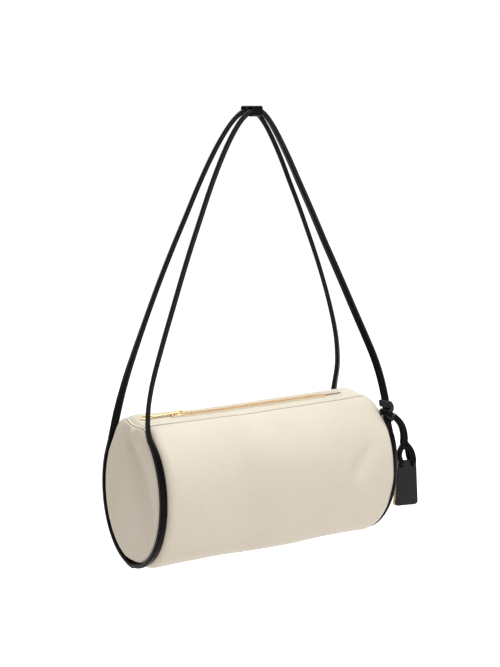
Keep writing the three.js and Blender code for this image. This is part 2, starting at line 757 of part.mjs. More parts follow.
function knotPoints() {
  // An oval helix round the strap, climbing one lace and a gap in each turn.
  const points = [];
  const total = KNOT_TURNS * KNOT_TURN_STEPS;
  for (let i = 0; i <= total; i += 1) {
    const turn = i / KNOT_TURN_STEPS;
    const t = (knotMiddle + (turn - KNOT_TURNS / 2) * laceStep) / knotRun;
    const centre = knotPath.getPointAt(t);
    const along = knotPath.getTangentAt(t);
    const across = bendWidth(RIGHT, FRONT, knotPath.getUtoTmapping(t)).negate();
    across.addScaledVector(along, -across.dot(along)).normalize();
    const thick = along.clone().cross(across);
    const a = 2 * PI * turn;
    centre.addScaledVector(across, knotWide * cos(a)).addScaledVector(thick, knotThin * sin(a));
    points.push(centre);
  }
  return points;
}

function leastGap(points) {
  // The least distance between turns of the winding, surface to surface.
  let least = Infinity;
  for (let i = 0; i < points.length; i += 1) {
    for (let j = i + KNOT_TURN_STEPS / 2; j < points.length; j += 1) {
      least = Math.min(least, points[i].distanceTo(points[j]) - LACE);
    }
  }
  return least;
}

const winding = knotPoints();
console.log(`tag_knot least gap to itself: ${leastGap(winding).toFixed(2)} mm`);
place('tag_knot', tube(winding, winding.length - 1), blackLeather);

// The lace hangs from the lower end of the winding, and the tag swings there.
const lacePivot = winding[0].clone().add(vec(LACE, 0, -LACE - LACE_SWING_GAP));
const tag = new THREE.Group();
tag.position.set(halfLength + TAG_OFFSET_FROM_END, lacePivot.y, lacePivot.z - TAG_DROP_LENGTH);
tag.rotation.z = TAG_TURN_ANGLE;
tag.updateMatrix();
assembly.add(tag);

function tagLeaf() {
  const w = TAG_WIDTH / 2;
  const r = TAG_CORNER;
  const shape = new THREE.Shape();
  shape.moveTo(-w, 0);
  shape.lineTo(-w, r - TAG_HEIGHT);
  shape.absarc(r - w, r - TAG_HEIGHT, r, PI, 1.5 * PI, false);
  shape.absarc(w - r, r - TAG_HEIGHT, r, 1.5 * PI, 2 * PI, false);
  shape.lineTo(w, 0);
  for (const side of [LEFT, RIGHT]) {
    const hole = new THREE.Path();
    hole.absarc(side * TAG_HOLE_SPACING / 2, -TAG_HOLE_FROM_TOP, TAG_HOLE / 2, 0, 2 * PI, true);
    shape.holes.push(hole);
  }
  return plate(shape, TAG_LEATHER).rotateX(PI / 2);
}
place('tag_front', tagLeaf().translate(0, -SEAM_GAP / 2, 0), blackLeather, tag);
place('tag_back', tagLeaf().translate(0, SEAM_GAP / 2 + TAG_LEATHER, 0), tanLeather, tag);

function laceLeg(side) {
  // From under the knot, down in front of the tag and back through its hole.
  const legX = side * (LACE + LACE_LEG_GAP) / 2;
  const start = lacePivot.clone().add(vec(legX, 0, 0));
  const inTag = (x, y, z) => vec(x, y, z).applyMatrix4(tag.matrix);
  const leaf = SEAM_GAP / 2 + TAG_LEATHER;
  const holeX = side * TAG_HOLE_SPACING / 2;
  const holeZ = -TAG_HOLE_FROM_TOP;
  const before = leaf + LACE;
  const fork = inTag(legX - LACE_FORK_INSET, -LACE, LACE_FORK_HEIGHT);
  return tube([
    start,
    start.clone().add(vec(0, 0, -LACE_DROP_LENGTH)),
    start.clone().lerp(fork, 0.5).add(vec(LACE_BOW_WIDTH, 0, 0)),
    fork,
    inTag(holeX, -before, holeZ + LACE_EYE_LOOP_HEIGHT),
    inTag(holeX, -leaf, holeZ),
    inTag(holeX, leaf + LACE / 2, holeZ),
  ], LACE_STEPS);
}
place('tag_lace_inner', laceLeg(LEFT), blackLeather);
place('tag_lace_outer', laceLeg(RIGHT), blackLeather);

assembly.position.z = -hangHeight;
export default object;
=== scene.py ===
"""Dresses the shoulder bag: a soft cream barrel, black leather straps, a brass zip and a hanging tag."""
import logging
import math
from dataclasses import dataclass, field
from enum import Enum
from typing import Any, Sequence

import bmesh
import bpy
import numpy as np
from bpy.types import Material, Mesh, Node, NodeSocket, NodeTree, Object, World
from mathutils import Matrix, Vector


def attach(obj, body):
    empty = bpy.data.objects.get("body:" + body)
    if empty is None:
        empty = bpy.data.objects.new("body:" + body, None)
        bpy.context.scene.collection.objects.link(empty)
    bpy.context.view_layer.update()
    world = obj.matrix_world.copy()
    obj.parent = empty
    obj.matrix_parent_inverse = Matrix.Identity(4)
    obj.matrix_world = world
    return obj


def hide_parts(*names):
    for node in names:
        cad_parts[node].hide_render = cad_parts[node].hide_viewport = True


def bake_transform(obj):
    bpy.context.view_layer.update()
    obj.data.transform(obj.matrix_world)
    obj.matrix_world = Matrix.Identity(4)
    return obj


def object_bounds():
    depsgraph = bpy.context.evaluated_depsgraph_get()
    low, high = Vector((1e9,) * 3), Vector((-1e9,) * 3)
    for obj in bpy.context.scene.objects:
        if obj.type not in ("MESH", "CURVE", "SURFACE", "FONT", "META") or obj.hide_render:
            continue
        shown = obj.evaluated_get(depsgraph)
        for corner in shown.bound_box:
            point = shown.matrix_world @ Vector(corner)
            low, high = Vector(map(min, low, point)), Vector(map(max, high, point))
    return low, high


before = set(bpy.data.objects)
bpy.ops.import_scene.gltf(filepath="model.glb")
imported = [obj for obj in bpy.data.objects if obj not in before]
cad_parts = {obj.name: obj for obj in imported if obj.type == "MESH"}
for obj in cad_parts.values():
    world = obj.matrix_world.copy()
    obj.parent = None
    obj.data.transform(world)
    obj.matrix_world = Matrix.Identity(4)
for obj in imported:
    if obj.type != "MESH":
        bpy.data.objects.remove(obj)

CAD_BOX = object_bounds()
MM = 0.001
HANG = 353.29
CREASE = 42.0
FINE = (0, 0.1, 0.25, 0.55, 0.9)
UP = (0.0, 0.0, 1.0)
log = logging.getLogger("shoulder_bag")

Array = np.ndarray
Colour = tuple[float, float, float, float]
Vec = tuple[float, float, float]


class Way(Enum):
    """A side of the bag, with its sign along one axis."""

    @property
    def word(self) -> str:
        """Returns the side as the pieces' names have it."""
        return self.name.lower()


class Side(Way):
    """Which end of the barrel, along X."""

    LEFT = -1
    RIGHT = 1


class Face(Way):
    """Front or rear of the bag, along Y."""

    FRONT = -1
    REAR = 1


class Body(str, Enum):
    """The moving bodies of the bag."""

    STRAP = "strap"
    BAG = "bag"
    MOUTH_FRONT = "mouth_front"
    MOUTH_REAR = "mouth_rear"
    SLIDER = "slider"
    PULL = "pull"
    TAG = "tag"


class Slot(str, Enum):
    """The material slots of the record."""

    CREAM = "cream_leather"
    BLACK = "black_leather"
    TAN = "tan_leather"
    LINING = "lining_cloth"
    TAPE = "zip_tape"
    BRASS = "brass"


def smooth(t: Any) -> Array:
    """Returns the soft step of t between 0 and 1."""
    t = np.clip(t, 0.0, 1.0)
    return t * t * (3 - 2 * t)


def row(points: Any) -> Array:
    """Moves points from the barrel's own frame in mm to the shared frame in metres.

    Args:
        points: Points in mm, with Z counted from the barrel's axis.

    Returns:
        The points as rows of three, in metres.
    """
    moved = np.array(points, float).reshape(-1, 3)
    moved[:, 2] -= HANG
    return moved * MM


def unit(v: Array) -> Array:
    """Returns vectors scaled to length one."""
    return v / np.maximum(np.linalg.norm(v, axis=-1, keepdims=True), 1e-12)


def ripple(x: Array, y: Array, z: Array, wavelength: float, seed: int, waves: int = 9) -> Array:
    """Makes a smooth, repeatable swell over space.

    Args:
        x: X of the points in mm.
        y: Y of the points.
        z: Z of the points.
        wavelength: About how far apart its crests are, in mm.
        seed: Number of the pattern.
        waves: How many plane waves are summed.

    Returns:
        Values that mostly stay between -1 and 1.
    """
    rng = np.random.default_rng(seed)
    total = np.zeros(np.broadcast(x, y, z).shape)
    for _ in range(waves):
        way = unit(rng.normal(size=3))
        k = 2 * math.pi / wavelength * rng.uniform(0.7, 1.4)
        phase = rng.uniform(0, 6.28)
        total = total + np.sin(k * (way[0] * x + way[1] * y + way[2] * z) + phase)
    return total / math.sqrt(waves)


def bezier(points: Sequence[Array], t: Array) -> Array:
    """Draws a cubic curve.

    Args:
        points: Its four corners.
        t: Shares of the way along it.

    Returns:
        Its points.
    """
    a, b, c, d = (np.asarray(p, float) for p in points)
    t = np.asarray(t, float)[:, None]
    return a * (1 - t) ** 3 + 3 * b * t * (1 - t) ** 2 + 3 * c * t * t * (1 - t) + d * t ** 3


def evenly(points: Array, step: float, closed: bool = False) -> Array:
    """Spaces points evenly along a line.

    Args:
        points: The line's points.
        step: About how far apart the new points are.
        closed: Whether the line returns to its first point.

    Returns:
        The new points; a closed line's last point isn't its first.
    """
    line = np.vstack([points, points[:1]]) if closed else np.asarray(points, float)
    run = np.concatenate([[0], np.cumsum(np.linalg.norm(np.diff(line, axis=0), axis=1))])
    count = max(3, int(round(run[-1] / step)))
    at = np.linspace(0, run[-1], count + 1)[: count if closed else None]
    return np.stack([np.interp(at, run, line[:, k]) for k in range(line.shape[1])], 1)


def through(points: Sequence[Sequence[float]], step: float = 0.8) -> Array:
    """Draws a smooth line through points.

    Args:
        points: Points that the line passes, in mm.
        step: Spacing of the result.

    Returns:
        Evenly spaced points of the line.
    """
    p = np.asarray(points, float)
    p = np.vstack([2 * p[0] - p[1], p, 2 * p[-1] - p[-2]])
    out = []
    for i in range(1, len(p) - 2):
        near = list(p[i - 1:i + 3])
        gaps = np.maximum(np.linalg.norm(np.diff(near, axis=0), axis=1), 1e-9) ** 0.5
        knots = np.concatenate([[0.0], np.cumsum(gaps)])
        t = np.linspace(knots[1], knots[2], 16, endpoint=i == len(p) - 3)[:, None]
        for reach in (1, 2):
            near = [((knots[k + reach] - t) * near[k] + (t - knots[k]) * near[k + 1])
                    / (knots[k + reach] - knots[k]) for k in range(len(near) - 1)]
        out.append(((knots[2] - t) * near[0] + (t - knots[1]) * near[1]) / (knots[2] - knots[1]))
    return evenly(np.vstack(out), step)


def tangents(path: Array) -> Array:
    """Returns the unit direction of a line at each of its points."""
    return unit(np.gradient(path, axis=0))


def squared(a: Array, power: float) -> tuple[Array, Array]:
    """Returns the cosine and sine of angles, drawn towards a square for powers below one."""
    c, s = np.cos(a), np.sin(a)
    return np.sign(c) * np.abs(c) ** power, np.sign(s) * np.abs(s) ** power


def bell(x: Array, place: float | Array, wide: float | Array) -> Array:
    """Returns a soft hump that is 1 at its place and fades over its breadth."""
    return np.exp(-((x - place) / wide) ** 2)


def ruled(first: Array, last: Array, v: Array) -> Array:
    """Returns rows of values that run from one line of values to another, at shares v."""
    return first[:, None] + (last - first)[:, None] * v[None, :]


def square_to(way: Array, wish: Array) -> Array:
    """Returns the directions nearest to the wished ones that stand square to a line's."""
    return unit(wish - way * (wish * way).sum(1, keepdims=True))


def arc(x: float, y: float, radius: float, degrees: Array) -> list[tuple[float, float]]:
    """Returns points round a centre at angles in degrees."""
    return [(x + radius * math.cos(a), y + radius * math.sin(a)) for a in np.radians(degrees)]


def by_side(left: Any, right: Any) -> Any:
    """Returns a dataclass field with one value for each end of the bag."""
    return field(default_factory=lambda: {Side.LEFT: left, Side.RIGHT: right})


def around(count: int) -> Array:
    """Returns that many even angles round a full turn."""
    return 2 * math.pi * np.arange(count) / count


def graded(length: float, fine: Sequence[float], near: float, near_step: float, step: float) -> Array:
    """Spaces places along an edge, close together at both ends.

    Args:
        length: Length of the edge in mm.
        fine: The first distances from each end.
        near: How far the nearer spacing goes.
        near_step: Spacing near the ends.
        step: Spacing in the middle.

    Returns:
        Rising places from 0 to length.
    """
    head = list(fine)
    while head[-1] + near_step < min(near, length / 2):
        head.append(head[-1] + near_step)
    count = max(1, int(round((length - 2 * head[-1]) / step)))
    middle = np.linspace(head[-1], length - head[-1], count + 1)[1:-1]
    return np.array([*head, *middle, *[length - h for h in reversed(head)]])


@dataclass
class Solid:
    """A closed mesh in mm: its points, faces, edge shares and unrolled map."""

    points: Array
    faces: list[tuple[int, ...]]
    edge: Array | None = None
    uv: Array | None = None

    def plus(self, other: "Solid") -> "Solid":
        """Adds another solid.

        Args:
            other: A solid of the same kind.

        Returns:
            Both as one set of shells.
        """
        shift = len(self.points)
        faces = self.faces + [tuple(i + shift for i in f) for f in other.faces]
        edge = None if self.edge is None else np.concatenate([self.edge, other.edge])
        uv = None if self.uv is None else np.vstack([self.uv, other.uv])
        return Solid(np.vstack([self.points, other.points]), faces, edge, uv)

    def made(self, name: str, finish: "Finish", crease: float = CREASE) -> Object:
        """Makes the object in the shared frame.

        Args:
            name: Name of the piece.
            finish: Its surface.
            crease: Angle in degrees past which an edge is sharp.

        Returns:
            The object, at the origin, with its place in its mesh.
        """
        mesh = bpy.data.meshes.new(name)
        mesh.from_pydata(row(self.points).tolist(), [], self.faces)
        if self.edge is not None:
            carry(mesh, "edge", self.edge)
        if self.uv is not None:
            at = np.zeros(len(mesh.loops), np.int32)
            mesh.loops.foreach_get("vertex_index", at)
            mesh.uv_layers.new(name="UVMap").data.foreach_set("uv", self.uv[at].astype(np.float32).ravel())
        return shown(name, mesh, finish, crease)


def carry(mesh: Mesh, name: str, values: Array) -> None:
    """Gives a mesh's points one named value or direction each.

    Args:
        mesh: The mesh.
        name: Name of the value.
        values: What each point gets.
    """
    values = np.asarray(values, np.float32)
    kind, key = ("FLOAT", "value") if values.ndim == 1 else ("FLOAT_VECTOR", "vector")
    mesh.attributes.new(name, kind, "POINT").data.foreach_set(key, values.ravel())


def linked(name: str, data: Any) -> Object:
    """Puts data into the scene as an object.

    Args:
        name: Name of the object.
        data: Its mesh, curve, lamp or camera.

    Returns:
        The object.
    """
    obj = bpy.data.objects.new(name, data)
    bpy.context.scene.collection.objects.link(obj)
    return obj


def loft(rings: Array, closed: bool = False) -> Solid:
    """Joins rings of points into a solid.

    Args:
        rings: The points, of shape (rings, points of each, 3), in mm.
        closed: Whether the last ring meets the first; otherwise both ends get a cap.

    Returns:
        The closed solid.
    """
    n, k = rings.shape[:2]
    faces = [(k * i + j, k * i + (j + 1) % k, k * ((i + 1) % n) + (j + 1) % k, k * ((i + 1) % n) + j)
             for i in range(n if closed else n - 1) for j in range(k)]
    if not closed:
        faces += [tuple(range(k - 1, -1, -1)), tuple(range(k * (n - 1), k * n))]
    return Solid(rings.reshape(-1, 3), faces)


def shown(name: str, mesh: Mesh, finish: "Finish", crease: float = CREASE) -> Object:
    """Turns a mesh's faces outwards, smooths it and puts it in the scene.

    Args:
        name: Name of the piece.
        mesh: Its mesh, in metres.
        finish: Its surface.
        crease: Angle in degrees past which an edge is sharp.

    Returns:
        The new object.
    """
    work = bmesh.new()
    work.from_mesh(mesh)
    bmesh.ops.recalc_face_normals(work, faces=work.faces[:])
    work.to_mesh(mesh)
    work.free()
    mesh.shade_smooth()
    mesh.set_sharp_from_angle(angle=math.radians(crease))
    mesh.materials.clear()
    mesh.materials.append(finish.material())
    mesh.name = name
    return linked(name, mesh)


def slab(outer: Array, thickness: float, soft: tuple[bool, bool] = (True, True), disc: bool = False,
         inward: Array | None = None, turn: float | None = None) -> Solid:
    """Gives a sheet of leather or cloth its thickness, with rounded edges.

    Args:
        outer: Grid of points of the outer face, shape (u, v, 3).
        thickness: Thickness in mm.
        soft: Whether the first and last rows along u are rounded edges; those along v always are.
        disc: Whether u runs round and meets itself, and the last row along v closes on one point.
        inward: Direction that points inside, or None for towards the axis.
        turn: How far in from the edge its rounding reaches, or None for half the thickness.

    Returns:
        The closed solid, with its edge share and its unrolled map.
    """
    nu, nv = outer.shape[:2]
    du = (np.roll(outer, -1, 0) - np.roll(outer, 1, 0)) if disc else np.gradient(outer, axis=0)
    normal = unit(np.cross(du, np.gradient(outer, axis=1)))
    inside = -outer * np.array([0, 1, 1]) if inward is None else np.broadcast_to(inward, outer.shape)
    flip = np.sign((normal * inside).sum())
    normal = -normal * flip
    run_u = np.concatenate([[0], np.cumsum(np.linalg.norm(np.diff(outer, axis=0), axis=2).mean(1))])
    run_v = np.concatenate([[0], np.cumsum(np.linalg.norm(np.diff(outer, axis=1), axis=2).mean(0))])

    def rounding(run: Array, first: bool, last: bool) -> Array:
        """Finds how full the thickness is along one way of the grid.

        Args:
            run: Distances along it.
            first: Whether its first edge is rounded.
            last: The same for its last edge.

        Returns:
            Shares of the thickness.
        """
        near = np.full(len(run), np.inf)
        near = np.minimum(near, run) if first else near
        near = np.minimum(near, run[-1] - run) if last else near
        return np.sqrt(np.clip(1 - (1 - np.clip(near / (turn or thickness / 2), 0, 1)) ** 2, 0, 1))

    cu = np.ones(nu) if disc else rounding(run_u, *soft)
    share = np.minimum(cu[:, None], rounding(run_v, True, not disc)[None, :])
    middle = outer - normal * thickness / 2
    half = normal * (share * thickness / 2)[..., None]
    front = np.arange(nu * nv).reshape(nu, nv)
    back = np.where(share < 1e-6, front, front + nu * nv)
    points = np.vstack([(middle + half).reshape(-1, 3), (middle - half).reshape(-1, 3)])
    # The edge share places each finish's edge colour: edge paint, partly painted shade on cream seams and
    # painted highlights on black.
    edge = np.tile((1 - share).ravel(), 2)
    unrolled = np.stack(np.broadcast_arrays(run_u[:, None], run_v[None, :]), -1)
    uv = np.tile(unrolled.reshape(-1, 2) * MM, (2, 1))
    faces: list[tuple[int, ...]] = [
        (net[i, k], net[(i + 1) % nu, k], net[(i + 1) % nu, k + 1], net[i, k + 1])
        for i in range(nu if disc else nu - 1) for k in range(nv - 1) for net in (front, back)]
    walls = [] if disc else [[(n, k) for k in range(nv)] for n in (0, nu - 1)]
    rims = [0] if disc else [0, nv - 1]
    walls += [[(n % nu, k) for n in range(nu + 1 if disc else nu)] for k in rims]
    for wall in walls:
        for (i, k), (j, l) in zip(wall, wall[1:]):
            ring = [front[i, k], front[j, l], back[j, l], back[i, k]]
            ring = [n for m, n in enumerate(ring) if n not in ring[:m]]
            if len(ring) > 2:
                faces.append(tuple(ring))
    if disc:
        for net in (front, back):
            centre = len(points)
            points = np.vstack([points, points[net[:, -1]].mean(0)])
            edge, uv = np.append(edge, 0.0), np.vstack([uv, uv[net[:, -1]].mean(0)])
            faces += [(net[i, -1], net[(i + 1) % nu, -1], centre) for i in range(nu)]
    used = np.zeros(len(points), bool)
    used[[n for f in faces for n in f]] = True
    place = np.cumsum(used) - 1
    faces = [tuple(int(place[n]) for n in f) for f in faces]
    return Solid(points[used], faces, edge[used], uv[used])


class Term:
    """A shader socket that Python sums and products can use."""

    def __init__(self, graph: "Graph", socket: NodeSocket) -> None:
        """Keeps the graph and the socket."""
        self.graph, self.socket = graph, socket

    def _with(self, operation: str, other: Any, swap: bool = False) -> "Term":
        """Adds one Math node.

        Args:
            operation: What it does.
            other: The second value.
            swap: Whether that one comes first.

        Returns:
            Its result.
        """
        pair = (other, self) if swap else (self, other)
        node = self.graph.node("ShaderNodeMath", {"operation": operation}, {0: pair[0], 1: pair[1]})
        return Term(self.graph, node.outputs[0])

    def __add__(self, other: Any) -> "Term":
        """Returns the sum."""
        return self._with("ADD", other)

    def __sub__(self, other: Any) -> "Term":
        """Returns the difference."""
        return self._with("SUBTRACT", other)

    def __rsub__(self, other: Any) -> "Term":
        """Returns the difference from a number."""
        return self._with("SUBTRACT", other, True)

    def __mul__(self, other: Any) -> "Term":
        """Returns the product."""
        return self._with("MULTIPLY", other)

    def __pow__(self, other: Any) -> "Term":
        """Returns the power."""
        return self._with("POWER", other)

    def sine(self) -> "Term":
        """Returns the sine."""
        return self._with("SINE", 0.0)

    __radd__ = __add__
    __rmul__ = __mul__


class Nodes:
    """A node tree that is built in code."""

    def __init__(self, tree: NodeTree) -> None:
        """Keeps the tree."""
        self.tree = tree

    def node(self, kind: str, settings: dict[str, Any] | None = None,
             inputs: dict[Any, Any] | None = None) -> Node:
        """Adds a node.

        Args:
            kind: The node's type.
            settings: Its settings, set first.
            inputs: Values or links of its sockets, by name or number.

        Returns:
            The node.
        """
        node = self.tree.nodes.new(kind)
        for key, value in (settings or {}).items():
            setattr(node, key, value)
        for key, value in (inputs or {}).items():
            link = value.socket if isinstance(value, Term) else value
            if isinstance(link, NodeSocket):
                self.tree.links.new(link, node.inputs[key])
            else:
                node.inputs[key].default_value = value
        return node


class Graph(Nodes):
    """The shader tree of a material or a world."""

    def __init__(self, owner: Material | World, kind: str = "Material") -> None:
        """Starts an empty tree with its output.

        Args:
            owner: The material or world.
            kind: Which of them it is.
        """
        owner.use_nodes = True
        super().__init__(owner.node_tree)
        self.tree.nodes.clear()
        self.owner = owner
        self.output = self.node(f"ShaderNodeOutput{kind}")

    def term(self, kind: str, output: str, settings: dict[str, Any] | None = None,
             inputs: dict[Any, Any] | None = None) -> Term:
        """Adds a node and returns one of its results."""
        return Term(self, self.node(kind, settings, inputs).outputs[output])

    def blend(self, factor: Any, a: Any, b: Any, way: str = "MIX") -> Term:
        """Mixes two colours.

        Args:
            factor: Share of the second colour.
            a: First colour or link.
            b: Second colour or link.
            way: How they mix.

        Returns:
            The mixed colour.
        """
        settings = {"data_type": "RGBA", "blend_type": way}
        node = self.node("ShaderNodeMix", settings, {0: factor, 6: a, 7: b})
        return Term(self, node.outputs[2])

    def noise(self, at: Any, scale: float, detail: float = 2.0, rough: float = 0.5) -> Term:
        """Returns soft noise of that scale per metre."""
        return self.term("ShaderNodeTexNoise", "Fac", None,
                         {"Vector": at, "Scale": scale, "Detail": detail, "Roughness": rough})

    def span(self, value: Any, low: float, high: float, to_low: float = 0.0, to_high: float = 1.0) -> Term:
        """Stretches a value from one range to another, and holds it there."""
        ends = {"From Min": low, "From Max": high, "To Min": to_low, "To Max": to_high}
        return self.term("ShaderNodeMapRange", "Result", {"clamp": True}, {"Value": value, **ends})

    def bump(self, height: Term, depth: float) -> Term:
        """Returns a normal for a height that is counted in that depth, in mm."""
        return self.term("ShaderNodeBump", "Normal", None,
                         {"Height": height, "Distance": depth * MM, "Strength": 1.0})

    def surface(self, shader: Node) -> Any:
        """Ends the tree in a shader and returns its material or world."""
        self.tree.links.new(shader.outputs[0], self.output.inputs["Surface"])
        return self.owner


def rgb(red: float, green: float, blue: float) -> Colour:
    """Turns a screen colour into a linear one.

    Args:
        red: Red, 0 to 255.
        green: Green.
        blue: Blue.

    Returns:
        The linear colour.
    """
    parts = [c / 255 for c in (red, green, blue)]
    linear = [c / 12.92 if c <= 0.04045 else ((c + 0.055) / 1.055) ** 2.4 for c in parts]
    return (*linear, 1.0)


@dataclass(frozen=True)
class Finish:
    """A surface that pieces can have."""

    name: str

    def material(self) -> Material:
        """Makes the finish once.

        Returns:
            Its material.
        """
        if self.name in bpy.data.materials:
            return bpy.data.materials[self.name]
        g = Graph(bpy.data.materials.new(self.name))
        return g.surface(g.node("ShaderNodeBsdfPrincipled", None, self.looks(g)))

    def looks(self, g: Graph) -> dict[str, Any]:
        """Returns what goes into the shader's sockets."""
        raise NotImplementedError


@dataclass(frozen=True)
class Leather(Finish):
    """Tanned leather with a fine grain, soft changes of tone and an edge colour: edge paint that is also
    painted shade in cream seams and painted highlights on black.
    """

    colour: Colour
    shade: Colour
    edge: Colour
    grain: float = 0.9
    depth: float = 0.05
    roughness: float = 0.45
    level: float = 0.4
    edge_share: float = 0.75

    def looks(self, g: Graph) -> dict[str, Any]:
        """Mixes grain, pores and tone from noise, and the edge colour from the mesh, which is partly painted
        shade and painted highlight.

        Args:
            g: The material's tree.

        Returns:
            What goes into the shader's sockets.
        """
        at = g.term("ShaderNodeTexCoord", "Object")
        broad = g.noise(at, 14.0, 3.0)
        fine = g.noise(at, 260.0, 4.0, 0.6)
        cells = g.term("ShaderNodeTexVoronoi", "Distance", {"feature": "SMOOTH_F1"},
                       {"Vector": at, "Scale": 1000 / self.grain, "Smoothness": 0.6})
        creases = g.term("ShaderNodeTexVoronoi", "Distance", {"feature": "DISTANCE_TO_EDGE"},
                         {"Vector": at, "Scale": 420 / self.grain})
        pores = g.span(creases, 0.0, 0.08, 1.0, 0.0)
        tone = g.span(broad * 0.65 + fine * 0.35, 0.36, 0.64)
        colour = g.blend(tone, self.shade, self.colour)
        colour = g.blend(pores * 0.1, colour, self.shade, "MULTIPLY")
        edge = g.term("ShaderNodeAttribute", "Fac", {"attribute_name": "edge"})
        # The edge colour is edge paint, and also painted light: brown painted shade in cream seams, grey
        # painted highlights on black straps and lace.
        colour = g.blend(g.span(edge, 0.12, 0.6) * self.edge_share, colour, self.edge)
        height = g.span(cells, 0.0, 0.7, 1.0, 0.0) + fine * 0.5 - pores * 0.35
        rough = g.span(fine * 0.5 + broad * 0.5, 0.3, 0.7, self.roughness - 0.05, self.roughness + 0.07)
        return {"Base Color": colour, "Roughness": rough, "Normal": g.bump(height, self.depth),
                "Specular IOR Level": self.level}


@dataclass(frozen=True)
class Woven(Finish):
    """Plain woven cloth that follows the piece's own map."""

    warp: Colour
    weft: Colour
    pitch: float = 0.5
    depth: float = 0.12
    roughness: float = 0.8
    sheen: float = 0.15

    def looks(self, g: Graph) -> dict[str, Any]:
        """Weaves threads over and under each other, with some fuzz.

        Args:
            g: The material's tree.

        Returns:
            What goes into the shader's sockets.
        """
        at = g.term("ShaderNodeTexCoord", "UV")
        parts = g.node("ShaderNodeSeparateXYZ", None, {"Vector": at})
        turn = math.pi / (self.pitch * MM)
        across, along = ((Term(g, parts.outputs[k]) * turn).sine() for k in (0, 1))
        over = g.span(across * along, -0.25, 0.25)
        fuzz = g.noise(at, 5200.0, 3.0)
        broad = g.noise(at, 40.0, 2.0)
        colour = g.blend(over, self.warp, self.weft)
        colour = g.blend(g.span(fuzz * 0.6 + broad * 0.4, 0.35, 0.65) * 0.22, colour, self.warp, "MULTIPLY")
        height = across ** 2.0 * over + along ** 2.0 * (1 - over) + fuzz * 0.3
        return {"Base Color": colour, "Roughness": self.roughness, "Specular IOR Level": 0.25,
                "Sheen Weight": self.sheen, "Normal": g.bump(height, self.depth)}


@dataclass(frozen=True)
class Metal(Finish):
    """Polished metal with faint smears and fine turning marks."""

    colour: Colour
    dull: Colour
    roughness: float = 0.22

    def looks(self, g: Graph) -> dict[str, Any]:
        """Varies colour and gloss by smears, and adds fine marks.

        Args:
            g: The material's tree.

        Returns:
            What goes into the shader's sockets.
        """
        at = g.term("ShaderNodeTexCoord", "Object")
        smear = g.noise(at, 180.0, 3.0)
        drawn = g.term("ShaderNodeMapping", "Vector", None, {"Vector": at, "Scale": (300, 6000, 2500)})
        marks = g.noise(drawn, 1.0)
        colour = g.blend(g.span(smear, 0.45, 0.75) * 0.5, self.colour, self.dull)
        rough = g.span(smear * 0.7 + marks * 0.3, 0.3, 0.7, self.roughness - 0.06, self.roughness + 0.1)
        return {"Base Color": colour, "Metallic": 1.0, "Roughness": rough, "Normal": g.bump(marks, 0.008)}


@dataclass(frozen=True)
class Thread(Finish):
    """Twisted sewing thread."""

    colour: Colour
    roughness: float = 0.6

    def looks(self, g: Graph) -> dict[str, Any]:
        """Darkens the thread between its strands: painted shade in the grooves.

        Args:
            g: The material's tree.

        Returns:
            What goes into the shader's sockets.
        """
        twist = g.noise(g.term("ShaderNodeTexCoord", "Object"), 3500.0, 2.0)
        # Painted shade: noise darkens the thread as if shade fell between its strands.
        colour = g.blend(g.span(twist, 0.35, 0.65) * 0.4, self.colour, (0.5, 0.5, 0.5, 1.0), "MULTIPLY")
        return {"Base Color": colour, "Roughness": self.roughness, "Specular IOR Level": 0.3,
                "Normal": g.bump(twist, 0.05)}


# Cream's brown edge colour is edge paint that also stands in for painted shade in the seams' grooves.
CREAM = Leather("cream leather", rgb(232, 225, 209), rgb(226, 217, 200),
                rgb(128, 98, 74), 0.8, 0.03, 0.46, 0.35)
# Black's grey edge colour is partly edge paint, partly painted highlight along the straps' and keeper's edges
# and corners.
BLACK = Leather("black leather", rgb(10, 9, 10), rgb(7, 6, 7), rgb(54, 51, 52), 0.55, 0.05, 0.27, 0.05)
# The lace's grey edge colour is partly edge paint, partly painted highlight along its narrow edges.
LACE = Leather("lace leather", rgb(25, 24, 25), rgb(18, 17, 18), rgb(84, 80, 80), 0.5, 0.05, 0.26, 0.18)
TAG_BLACK = Leather("tag leather", rgb(40, 38, 41), rgb(34, 32, 35), rgb(24, 22, 23), 0.4, 0.06, 0.55, 0.14)
TAN = Leather("tan leather", rgb(226, 196, 158), rgb(216, 184, 144),
              rgb(198, 162, 122), 0.6, 0.05, 0.5, 0.35)
LINING = Woven("lining cloth", rgb(196, 178, 150), rgb(208, 192, 166), 0.55, 0.1)
TAPE = Woven("zip tape", rgb(222, 207, 182), rgb(230, 216, 192), 0.6, 0.12, 0.75)
BRASS = Metal("pale brass", rgb(232, 206, 158), rgb(200, 164, 112), 0.2)
TEETH = Metal("tooth brass", rgb(233, 206, 162), rgb(206, 172, 124), 0.3)
CREAM_THREAD = Thread("cream thread", rgb(226, 216, 196))


def evaluated(obj: Object) -> Mesh:
    """Returns an object's finished shape as a plain mesh."""
    return bpy.data.meshes.new_from_object(obj.evaluated_get(bpy.context.evaluated_depsgraph_get()))


